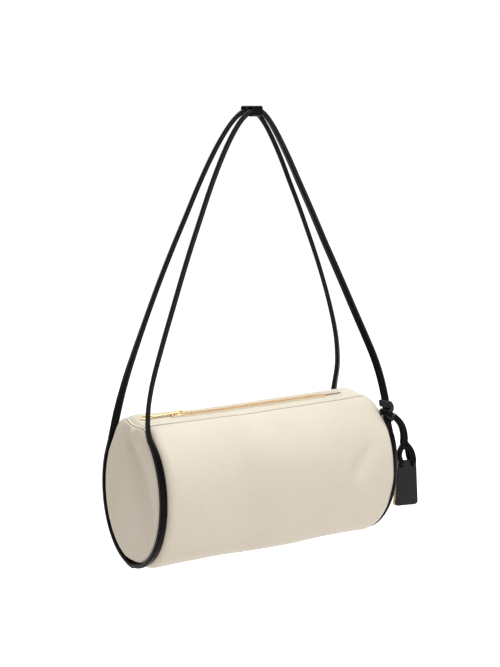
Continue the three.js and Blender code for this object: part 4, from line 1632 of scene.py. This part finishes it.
    def ring(self, place: float, rx: float, ry: float, wide: float, thick: float) -> Solid:
        """Makes a flat oval ring with rounded faces.

        Args:
            place: Its middle along X.
            rx: Half length.
            ry: Half breadth.
            wide: Width of its band.
            thick: Thickness.

        Returns:
            The solid.
        """
        t = around(48)[:, None]
        u, v = squared(around(10), 0.7)
        x = place + (rx + u * wide / 2) * np.cos(t)
        y = (ry + u * wide / 2) * np.sin(t)
        return loft(np.stack([x, y, np.broadcast_to(v * thick / 2, x.shape)], -1), True)

    def pull(self) -> Object:
        """Makes the slim pull: an eye on the arch, a bar and an oval loop, resting on the leather.

        Returns:
            The object.
        """
        x = np.linspace(*self.pull_bar, 33)
        bar = self.bar(np.stack([x, 0 * x, 0 * x], 1), np.tile(UP, (len(x), 1)), *self.pull_bar_size)
        solid = self.ring(*self.pull_eye).plus(bar).plus(self.ring(*self.pull_loop))
        x, y, z = solid.points.T
        roll = math.radians(self.pull_roll) * smooth((-3.0 - x) / 10.0)
        y, z = y * np.cos(roll) - z * np.sin(roll), y * np.sin(roll) + z * np.cos(roll)
        c, s = math.cos(math.radians(self.pull_droop)), math.sin(math.radians(self.pull_droop))
        pin = self.pin_height - self.pull_drop
        solid.points = np.stack([self.slider_x + x * c - z * s, y, pin + x * s + z * c], 1)
        return solid.made("zip_pull_brass", BRASS, self.metal_crease)

    def stops(self) -> Object:
        """Makes the small metal clamps that end the teeth.

        Returns:
            The object.
        """
        clamps = []
        for x, y, wide in self.stop_places:
            z = self.form.height(x) - float(self.sunk(x))
            clamps.append(self.plate(self.block(x, y, 1.2, wide / 2), z - 1.0, z + 1.2, 0.3))
        whole = clamps[0].plus(clamps[1]).plus(clamps[2])
        return whole.made("zip_stops_brass", BRASS, self.tooth_crease)


@dataclass(frozen=True)
class Hang:
    """How one strand of a strap hangs.

    draw and foot place it across the bag, leave is where it leaves the end, in degrees from the top. turns
    gives the way its width lies (degrees from +X towards +Y) and drift its small sideways shift, both by
    height. twist is how far it has turned on the edge, in degrees, where it leaves.
    """

    draw: float
    foot: float
    leave: float
    turns: tuple[tuple[float, float], ...]
    drift: tuple[tuple[float, float], ...]
    twist: float = 0.0


def by_height(z: Array, table: Sequence[tuple[float, float]], spread: int = 9) -> Array:
    """Reads a table of heights and values at places along a line.

    Args:
        z: Heights of the line's points.
        table: Heights and values, from low to high.
        spread: Over how many points the result is smoothed.

    Returns:
        One value for each point.
    """
    value = np.interp(z, *np.array(table, float).T)
    padded = np.concatenate([np.full(spread, value[0]), value, np.full(spread, value[-1])])
    return np.convolve(padded, np.ones(spread) / spread, "same")[spread:-spread]


@dataclass
class Straps:
    """The two straps, each one strip from one end's edging over the keeper to the other's, and the keeper."""

    form: BarrelForm
    sweep: Sweep
    width: float = 7.5
    thickness: float = 4.2
    corner: float = 1.25
    top_height: float = 360.0
    spread: float = 12.0
    inset: float = 1.0
    foot_height: float = 58.0
    bend_height: float = 60.0
    lift: float = 8.0
    bend_run: float = 42.0
    lap: float = 0.9
    edging: float = 2.4
    step: float = 2.2
    drift_way: Vec = (0.829, -0.559, 0.0)
    keeper_box: Vec = (355.0, 364.2, 10.9)
    keeper_corner: float = 2.2
    keeper_width: float = 11.5
    keeper_leather: float = 1.35
    keeper_lap: tuple[float, float] = (9.0, -1.15)
    first: dict[Face, float] = field(default_factory=lambda: {Face.FRONT: -0.03, Face.REAR: -0.012})
    shoulder: dict[Side, float] = by_side(42.0, 29.0)
    run: dict[Side, float] = by_side(58.0, 60.0)
    lean: dict[Side, float] = by_side(-9.0, 38.0)
    seat: dict[Side, float] = by_side(3.1, 2.7)
    sunk: dict[Side, float] = by_side(0.0, 0.9)
    hang: dict[tuple[Side, Face], Hang] = field(default_factory=lambda: {
        (Side.LEFT, Face.FRONT): Hang(
            38, 19, 36,
            ((54, 44), (65, 50), (75, 54), (84, 58), (120, 66), (320, 67), (353, 63), (360, 82)),
            ((56, 0), (66, 0.4), (90, -0.4), (118, -0.6), (180, 0.9), (260, 1.6), (350, 0)), -32.0),
        (Side.LEFT, Face.REAR): Hang(
            10, 38, 54,
            ((42, 180), (64, 132), (84, 104), (118, 86), (160, 72), (320, 65), (354, 57), (360, 80)),
            ((60, 0), (118, 0), (200, 0.6), (260, 1.8), (350, 0))),
        (Side.RIGHT, Face.FRONT): Hang(
            11.5, 50.5, 61,
            ((34, 180), (52, 146), (74, 124), (118, 112), (180, 100), (260, 88), (340, 76), (354, 70),
             (360, 84)),
            ((34, 0), (44, -1.0), (54, -0.4), (64, 1.6), (95, 2.6), (118, 2.4), (160, 0.4), (230, -1.7),
             (290, -1.2), (331, 0.8), (350, 2.2))),
        (Side.RIGHT, Face.REAR): Hang(
            5, 51, 57,
            ((38, 0), (70, 30), (118, 42), (160, 48), (200, 58), (320, 62), (353, 56), (360, 84)),
            ((38, 0), (62, -2.4), (78, -1.6), (94, 0.8), (129, 1.8), (160, 1.2), (240, -0.7), (290, -0.7),
             (331, 1.6), (350, 2.8)))})

    def edge_point(self, side: Side, face: Face, angle: Array) -> tuple[Array, Array, Array]:
        """Gives the sewn edging's middle line.

        Args:
            side: Which end.
            face: Which half of it.
            angle: Angles from straight down.

        Returns:
            Its points, their directions, and the way its width lies.
        """
        ry, rz = (size + self.edging - self.sunk[side] for size in self.form.ends[side])
        x = np.full(len(angle), side.value * (self.form.half_length - self.seat[side]))
        lap = self.lap * (1 - smooth(angle / 0.3)) if face is Face.REAR else 0 * angle
        s, c = face.value * np.sin(angle), np.cos(angle)
        place = np.stack([x, (ry + lap) * s, -(rz + lap) * c], 1)
        way = unit(np.stack([0 * x, face.value * ry * c, face.value * rz * s], 1))
        out = unit(np.stack([0 * x, s / ry, -c / rz], 1))
        leaving = smooth((angle - angle[-1] + 0.5) / 0.5)[:, None]
        tilt = np.radians(self.lean[side] + (self.hang[side, face].twist - self.lean[side]) * leaving)
        across = face.value * (np.array([side.value, 0.0, 0.0]) * np.cos(tilt) - out * np.sin(tilt))
        return place, way, across

    def half(self, side: Side, face: Face) -> tuple[Array, Array]:
        """Gives one half of a strap, from the bottom of its edging up to the keeper.

        Args:
            side: Left or right half.
            face: Front or rear strap.

        Returns:
            Its middle line, and the direction across its width.
        """
        hang = self.hang[side, face]
        angle = np.linspace(self.first[face], math.pi - math.radians(hang.leave), 120)
        edging, way, across = self.edge_point(side, face, angle)
        top = face.value * self.spread / 2
        foot_x = side.value * (self.form.half_length - self.inset)
        corners = [(0, top, self.top_height), (side.value * self.shoulder[side], top, self.top_height),
                   (foot_x, face.value * hang.draw, self.foot_height + self.run[side]),
                   (foot_x, face.value * hang.foot, self.foot_height)]
        strand = bezier(corners, np.linspace(0, 1, 2001))
        free = strand[: int(np.argmax(strand[:, 2] <= self.foot_height + self.bend_height)) + 1]
        up = unit(free[-2] - free[-1])
        bend = bezier([edging[-1], edging[-1] + self.lift * way[-1], free[-1] - self.bend_run * up, free[-1]],
                      np.linspace(0, 1, 90))
        loose = evenly(np.vstack([bend, free[::-1][1:]]), self.step)
        turn = np.radians(by_height(loose[:, 2], hang.turns))
        loose = loose + np.outer(by_height(loose[:, 2], hang.drift), self.drift_way)
        wide = np.stack([np.cos(turn), np.sin(turn), 0 * turn], 1)
        sewn = evenly(np.hstack([edging, across]), self.step)
        return np.vstack([sewn[:, :3], loose[1:]]), np.vstack([sewn[:, 3:], wide[1:]])

    def section(self) -> tuple[Array, Array]:
        """Draws the strap's section.

        Returns:
            Its (depth, breadth) points and their edge shares.
        """
        ring, edge = [], []
        r = self.corner
        b, h = self.width / 2 - r, self.thickness / 2 - r
        for sign_b, sign_h, first in ((1, 1, 0), (-1, 1, 90), (-1, -1, 180), (1, -1, 270)):
            for step in (0, 22, 45, 68, 90):
                a = math.radians(first + step)
                ring.append((sign_h * h + r * math.sin(a), sign_b * b + r * math.cos(a)))
                # Corners take a little of the grey edge colour: a painted highlight along them.
                edge.append(0.3 * abs(math.cos(a)) ** 4)
            if first in (0, 180):
                places = (0.6, 0.2, -0.2, -0.6)
                ring += [(sign_h * (h + r + 0.2 - 0.2 * at * at), sign_b * at * b) for at in places]
                edge += [0.0] * len(places)
            else:
                # The narrow sides take the grey edge colour, most at their middle: partly edge paint, partly
                # a painted highlight line.
                sides = ((0.7, 0.0, 0.4), (0.0, 0.12, 0.8), (-0.7, 0.0, 0.4))
                ring += [(sign_h * at * h, sign_b * (b + r - deep)) for at, deep, _ in sides]
                edge += [share for _, _, share in sides]
        return np.array(ring), np.array(edge)

    def build(self) -> None:
        """Makes and settles both straps and the keeper."""
        for face in Face:
            word = face.word
            left, left_wide = self.half(Side.LEFT, face)
            right, right_wide = self.half(Side.RIGHT, face)
            path = np.vstack([left, right[::-1][1:]])
            way = tangents(path)
            across = square_to(way, np.vstack([left_wide, right_wide[::-1][1:]]))
            strap = self.sweep.along(f"strap_leather_{word}", path, np.cross(way, across), *self.section(),
                                     BLACK)
            self.hung(strap)
            sewn = [f"strap_{kind}_{side.word}_{word}" for kind in ("bend", "edging") for side in Side]
            stand_for(strap, Slot.BLACK, f"strap_{word}", *sewn)
        settle(self.keeper().made("keeper_band", BLACK), Body.STRAP, Slot.BLACK, "strap_keeper")

    def hung(self, obj: Object) -> None:
        """Bakes a piece's place into its mesh."""
        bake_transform(obj)

    def keeper(self) -> Solid:
        """Makes the keeper: one band wrapped round both straps, its end lapped underneath.

        Returns:
            The band.
        """
        low, high, half = self.keeper_box
        r, middle = self.keeper_corner, (low + high) / 2
        loop = []
        for y, z, first in ((half - r, high - r, 0), (r - half, high - r, 90), (r - half, low + r, 180),
                            (half - r, low + r, 270)):
            loop += arc(y, z, r, np.arange(first, first + 91, 15))
        line = evenly(np.array(loop), 0.6, closed=True)
        line[:, 1] = middle + (line[:, 1] - middle) * (1 - 0.6 * bell(line[:, 0], 0.0, 1.7))
        start = int(np.argmin(np.abs(line[:, 0] + 6.0) + 10 * (line[:, 1] > 358)))
        line = np.roll(line, -start, 0)
        length, drop = self.keeper_lap
        lap = line[: int(length / 0.6)] + (0.0, drop)
        ease = smooth(np.linspace(0, 1, 8))[:, None]
        tail = line[-8:] + ease * (0.0, drop)
        line = evenly(np.vstack([line[:-8], tail, lap]), 0.55)
        x = graded(self.keeper_width, (0, 0.2, 0.45, 0.7), 2, 0.5, 1.0) - self.keeper_width / 2
        shape = (1 + 0.012 * np.sin(x / 2.4))[None, :]
        y, z = line[:, :1] * shape, (line[:, 1:] - middle) * shape
        net = np.stack(np.broadcast_arrays(x[None, :], y, z), -1)
        return slab(net + (0, 0, middle), self.keeper_leather, inward=-net * (0, 1, 1))


@dataclass
class Tag:
    """The leather tag, and the lace that hangs it from the right front strap.

    starts are where each leg of the lace leaves the knot, along the knot's own ways. legs is the line that
    both follow down. ends take each through its hole and up behind, in the tag's frame. winding is the turns'
    half width and half depth round the strap and their thickness. turns gives each one's place along the
    strap, tilt, width and shift. tail and bight are along the knot's own ways. views are the ways that the
    lace's flat face looks.
    """

    straps: Straps
    sweep: Sweep
    origin: Vec = (163.0, -43.75, 3.59)
    turn: float = -0.2
    width: float = 23.0
    height: float = 47.6
    leather: float = 1.5
    leaf_gap: float = 0.2
    ease: float = 0.32
    corner: float = 3.0
    hole: float = 5.0
    hole_drop: float = 4.8
    hole_spacing: float = 13.0
    knot_height: float = 60.0
    taper: float = 1.3
    tan_shift: float = 0.5
    tan_swing: float = 0.034
    crease: float = 35.0
    leg_size: tuple[float, float] = (5.2, 4.0)
    leg_view: Vec = (-0.35, -1.0, 0.1)
    leg_gap: tuple[float, float] = (0.5, 2.1)
    knot_view: Vec = (0.3, -1.0, 0.1)
    winding: Vec = (5.3, 3.6, 3.1)
    turns: tuple[tuple[float, ...], ...] = ((3.8, -1.6, 7.2, 0.0), (-5.2, -1.6, 6.8, -0.2))
    tail: tuple[Vec, ...] = ((-0.5, -5.6, 4.0), (3.0, -9.0, 3.8), (5.8, -13.4, 2.6))
    tail_size: tuple[float, float] = (4.4, 2.6)
    bight: tuple[Vec, ...] = ((-0.5, 5.0, 4.0), (3.4, 4.4, 4.4), (5.9, 1.8, 3.4), (5.8, -2.0, 3.2),
                              (3.2, -4.6, 4.2), (-0.5, -5.2, 4.2))
    bight_size: tuple[float, float] = (5.0, 3.2)
    legs: tuple[Vec, ...] = ((144.0, -45.2, 51.6), (148.2, -45.6, 47.6), (152.4, -45.4, 43.4),
                             (156.0, -45.0, 37.2), (158.0, -44.8, 29.5), (158.2, -44.8, 22.5))
    starts: dict[Side, tuple[Vec, ...]] = by_side(
        ((-2.0, -6.2, 2.6), (2.6, -8.6, 2.8)),
        ((-4.0, -3.4, 3.6), (0.2, -5.0, 5.0), (4.4, -7.0, 4.4)))
    ends: dict[Side, tuple[Vec, ...]] = by_side(
        ((-5.4, -2.8, 16.0), (-9.0, -3.4, 11.4), (-10.4, -3.8, 5.4), (-8.4, -3.9, -0.8), (-6.5, -1.2, -5.0),
         (-6.5, 1.4, -5.0), (-7.6, 3.8, -1.6), (-8.4, 3.4, 4.0), (-7.0, 2.2, 10.0), (-4.2, 1.0, 16.5)),
        ((-0.8, -2.8, 16.0), (2.6, -3.4, 11.6), (5.2, -3.8, 5.4), (6.2, -3.9, -0.8), (6.5, -1.2, -5.0),
         (6.5, 1.4, -5.0), (5.4, 3.8, -1.6), (3.6, 3.5, 3.0), (2.6, 3.0, 7.0), (0.8, 2.2, 12.0),
         (-2.0, 1.0, 16.5)))

    def at(self, x: float, y: float, z: float) -> Vec:
        """Returns a point of the tag's own frame in the barrel's frame."""
        c, s = math.cos(self.turn), math.sin(self.turn)
        return (self.origin[0] + c * x - s * y, self.origin[1] + s * x + c * y, self.origin[2] + z)

    def build(self) -> None:
        """Makes and settles the knot, the lace's loops and the two leaves."""
        settle(self.knot(), Body.BAG, Slot.BLACK, "tag_knot")
        for side, word in ((Side.LEFT, "inner"), (Side.RIGHT, "outer")):
            loop = self.loop(side, f"lace_loop_{word}")
            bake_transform(loop)
            stand_for(loop, Slot.BLACK, f"tag_lace_{word}")
        front = self.leaf("tag_leaf_front", Face.FRONT, TAG_BLACK)
        settle(front, Body.TAG, Slot.BLACK, "tag_front")
        back = self.leaf("tag_leaf_back", Face.REAR, TAN, self.tan_shift, self.tan_swing)
        settle(back, Body.TAG, Slot.TAN, "tag_back")

    def leaf(self, name: str, face: Face, finish: Finish, grow: float = 0.0,
             swing: float = 0.0) -> Object:
        """Makes one leaf of the tag, with eased edges and two holes.

        Args:
            name: Name of the piece.
            face: Front or rear leaf.
            finish: Its surface.
            grow: How much wider than the front leaf it is at its foot.
            swing: How far it is turned about its holes, in radians.

        Returns:
            The object.
        """
        ease, r = self.ease, self.corner
        curve = bpy.data.curves.new(name, "CURVE")
        curve.dimensions, curve.fill_mode = "2D", "BOTH"
        curve.extrude = (self.leather / 2 - ease) * MM
        curve.bevel_depth, curve.bevel_resolution = ease * MM, 2
        foot = self.width / 2 + self.taper + grow - ease
        top = self.width / 2 - self.taper - grow - ease
        low = r - self.height - grow + ease
        ring = [(-top, -ease - grow), (-foot, low), *arc(r - foot, low, r, np.arange(180, 271, 10)),
                *arc(foot - r, low, r, np.arange(270, 361, 10)), (top, -ease - grow)]
        holes = [arc(side.value * self.hole_spacing / 2, -self.hole_drop, self.hole / 2 + ease,
                     np.degrees(around(32))) for side in Side]
        for points in (ring, *holes):
            spline = curve.splines.new("POLY")
            spline.points.add(len(points) - 1)
            spline.use_cyclic_u = True
            for p, (x, z) in zip(spline.points, points):
                p.co = (x * MM, z * MM, 0, 1)
        holder = linked(name, curve)
        mesh = evaluated(holder)
        bpy.data.objects.remove(holder)
        y = face.value * (self.leaf_gap + self.leather / 2)
        stand = Matrix(((1, 0, 0, 0), (0, 0, -1, y * MM), (0, 1, 0, 0), (0, 0, 0, 1)))
        place = Matrix.Translation(Vector(row([self.origin])[0])) @ Matrix.Rotation(self.turn, 4, "Z")
        pin = Matrix.Translation((0, -self.hole_drop * MM, 0))
        mesh.transform(place @ stand @ pin @ Matrix.Rotation(-swing, 4, "Z") @ pin.inverted())
        work = bmesh.new()
        work.from_mesh(mesh)
        bmesh.ops.remove_doubles(work, verts=work.verts[:], dist=1e-6)
        work.to_mesh(mesh)
        work.free()
        return shown(name, mesh, finish, self.crease)

    def knot_frame(self, shift: float = 0.0) -> tuple[Array, Array, Array, Array]:
        """Gives the strap's own axes at the knot.

        Args:
            shift: How far up the strap from the knot's middle, in mm.

        Returns:
            The point on the strap's middle line, and the ways right, up and forward.
        """
        line, wide = self.straps.half(Side.RIGHT, Face.FRONT)
        run = np.concatenate([[0], np.cumsum(np.linalg.norm(np.diff(line, axis=0), axis=1))])
        rising = np.arange(len(line)) > 60
        middle = run[int(np.argmin(np.abs(line[:, 2] - self.knot_height) + 1e3 * ~rising))] + shift
        at, up, right = (np.array([np.interp(middle, run, v[:, k]) for k in range(3)])
                         for v in (line, tangents(line), -wide))
        up = unit(up)
        right = unit(right - up * right.dot(up))
        return at, right, up, np.cross(right, up)

    def on_knot(self, points: Sequence[Vec]) -> list[Array]:
        """Returns points given from the knot's middle along its ways right, up and forward."""
        at, *ways = self.knot_frame()
        return [at + sum(way * reach for way, reach in zip(ways, point)) for point in points]

    def lace(self, name: str, path: Array, facing: Array, size: tuple[float, float],
             finish: Finish) -> Object:
        """Draws the lace's flattened section along a line.

        Args:
            name: Name of the piece.
            path: Its middle line in mm.
            facing: The way that its flat face looks at each point.
            size: Its width and thickness.
            finish: Its leather.

        Returns:
            The object.
        """
        a = around(16)
        deep, broad = squared(a, 0.75)
        section = np.stack([deep * size[1] / 2, broad * size[0] / 2], 1)
        # The narrow edges take the finish's lighter edge colour: partly edge paint, partly painted highlight.
        return self.sweep.along(name, path, facing, section, 0.35 * np.abs(np.sin(a)) ** 8, finish)

    def strand(self, name: str, path: Array, view: Vec, size: tuple[float, float],
               finish: Finish) -> Object:
        """Makes a length of lace with its flat face one way.

        Args:
            name: Name of the piece.
            path: Its middle line in mm.
            view: The way that its flat face looks.
            size: Its width and thickness.
            finish: Its leather.

        Returns:
            The object.
        """
        facing = square_to(tangents(path), np.tile(view, (len(path), 1)))
        for _ in range(8):
            facing[1:-1] = unit(facing[:-2] + 2 * facing[1:-1] + facing[2:])
        return self.lace(name, path, facing, size, finish)

    def loop(self, side: Side, name: str) -> Object:
        """Makes one leg of the lace: down from the knot, through the tag's hole and up behind.

        Args:
            side: Which hole.
            name: Name of the piece.

        Returns:
            The object.
        """
        middle = through(self.legs, 4.0)
        way = tangents(middle)
        beside = np.stack([-way[:, 2], 0 * way[:, 0], way[:, 0]], 1)
        pair = middle + side.value * np.linspace(*self.leg_gap, len(middle))[:, None] * beside
        end = [self.at(*point) for point in self.ends[side]]
        path = through([*self.on_knot(self.starts[side]), *pair, *end], 0.7)
        return self.strand(name, path, self.leg_view, self.leg_size, BLACK)

    def knot(self) -> Object:
        """Makes the hitch: two turns of lace round the strap, a short tail and the bight beside them.

        Returns:
            The object.
        """
        parts = []
        broad, deep, thick = self.winding
        a = np.linspace(0, 2 * math.pi, 73)[:, None]
        for shift, tilt, wide, off in self.turns:
            at, right, up, forward = self.knot_frame(shift)
            lean = up * (tilt * np.cos(a) + 0.3 * np.sin(2 * a))
            out = right * np.cos(a) / broad - forward * np.sin(a) / deep
            ring = at + off * (right + forward) + lean
            ring = ring + right * broad * np.cos(a) - forward * deep * np.sin(a)
            parts.append(self.lace("turn", ring, out, (wide, thick), LACE))
        for points, size in ((self.tail, self.tail_size), (self.bight, self.bight_size)):
            path = through(self.on_knot(points), 0.6)
            parts.append(self.strand("turn", path, self.knot_view, size, LACE))
        return together("lace_knot", parts, LACE)


@dataclass
class Studio:
    """Camera, soft light and a white room.

    lamps are square and look at the bag: place and length of the sides in metres, and power in watts.
    """

    azimuth: float = -34.0
    elevation: float = 8.244
    distance: float = 1.571
    target: Vec = (-0.002, 0.0, -0.21049)
    focal: float = 1600.0
    frame_height: float = 667.0
    sensor: float = 36.0
    floor_gap: float = 0.16
    floor_half: float = 12.0
    lit_by: Vec = (0.0, 0.0, -0.33)
    lamps: dict[str, tuple[Vec, float, float]] = field(default_factory=lambda: {
        "front": ((-0.1, -2.0, 0.6), 0.8, 8.5), "low": ((0.4, -1.7, -0.5), 0.9, 8.5),
        "left": ((-1.7, -0.8, -0.25), 0.9, 3.8), "top": ((0.1, 0.2, 1.9), 1.6, 49.0)})

    def build(self) -> None:
        """Makes the camera, the floor, the world and the lamps."""
        self.camera()
        self.floor()
        self.world()
        for name, (place, size, power) in self.lamps.items():
            data = bpy.data.lights.new(name, "AREA")
            data.shape, data.size, data.energy = "SQUARE", size, power
            self.aim(linked(name, data), Vector(place), Vector(place) - Vector(self.lit_by))
        bpy.context.scene.view_settings.view_transform = "Standard"

    def aim(self, obj: Object, place: Vector, back: Vector) -> None:
        """Puts a camera or lamp at a place, with its back one way."""
        obj.location = place
        obj.rotation_euler = back.to_track_quat("Z", "Y").to_euler()

    def camera(self) -> None:
        """Puts the camera at the photograph's viewing angle."""
        a, e = math.radians(self.azimuth), math.radians(self.elevation)
        back = Vector((math.sin(a) * math.cos(e), -math.cos(a) * math.cos(e), math.sin(e)))
        data = bpy.data.cameras.new("camera")
        data.sensor_fit, data.sensor_height = "VERTICAL", self.sensor
        data.lens = self.focal / self.frame_height * self.sensor
        data.clip_start, data.clip_end = 0.05, 60.0
        camera = linked("camera", data)
        self.aim(camera, Vector(self.target) + back * self.distance, back)
        bpy.context.scene.camera = camera

    def seen(self, g: Graph, plain: Node, white: Node) -> Any:
        """Ends a tree in one shader for its light, and a white one for rays that see it.

        Args:
            g: The tree.
            plain: The shader that lights the bag.
            white: The shader that camera, glossy and transmission rays meet.

        Returns:
            The tree's material or world.
        """
        path = g.node("ShaderNodeLightPath")
        flags = [Term(g, path.outputs[f"Is {kind} Ray"]) for kind in ("Camera", "Glossy", "Transmission")]
        share = g.span(flags[0] + flags[1] + flags[2], 0.0, 1.0)
        shaders = {1: plain.outputs[0], 2: white.outputs[0]}
        return g.surface(g.node("ShaderNodeMixShader", None, {0: share, **shaders}))

    def floor(self) -> None:
        """Lays the pale floor below the hanging bag."""
        g = Graph(bpy.data.materials.new("pale floor"))
        lit = g.node("ShaderNodeBsdfDiffuse", None, {"Color": (0.7, 0.7, 0.7, 1)})
        shine = g.node("ShaderNodeEmission", None, {"Color": (1, 1, 1, 1), "Strength": 0.9})
        both = g.node("ShaderNodeAddShader", None, {0: lit.outputs[0], 1: shine.outputs[0]})
        bounce = g.node("ShaderNodeBsdfDiffuse", None, {"Color": (0.66, 0.62, 0.585, 1)})
        mesh = bpy.data.meshes.new("floor")
        h, z = self.floor_half, CAD_BOX[0][2] - self.floor_gap
        mesh.from_pydata([(-h, -h, z), (h, -h, z), (h, h, z), (-h, h, z)], [], [(0, 1, 2, 3)])
        mesh.materials.append(self.seen(g, bounce, both))
        floor = linked("floor", mesh)

    def world(self) -> None:
        """Sets the room's even light and its white look."""
        g = Graph(bpy.data.worlds.new("white room"), "World")
        lit = g.node("ShaderNodeBackground", None, {"Color": (1, 0.972, 0.948, 1), "Strength": 0.285})
        white = g.node("ShaderNodeBackground", None, {"Color": (1, 1, 1, 1), "Strength": 1.0})
        bpy.context.scene.world = self.seen(g, lit, white)


def main() -> None:
    """Builds the room and every part of the bag in order."""
    logging.basicConfig(level=logging.INFO, format="%(name)s %(message)s")
    form = BarrelForm()
    sweep, sewing = Sweep(), Repeat()
    Studio().build()
    Barrel(form).build()
    Zip(form, sewing).build()
    straps = Straps(form, sweep)
    straps.build()
    Tag(straps, sweep).build()


if __name__ == "__main__":
    main()
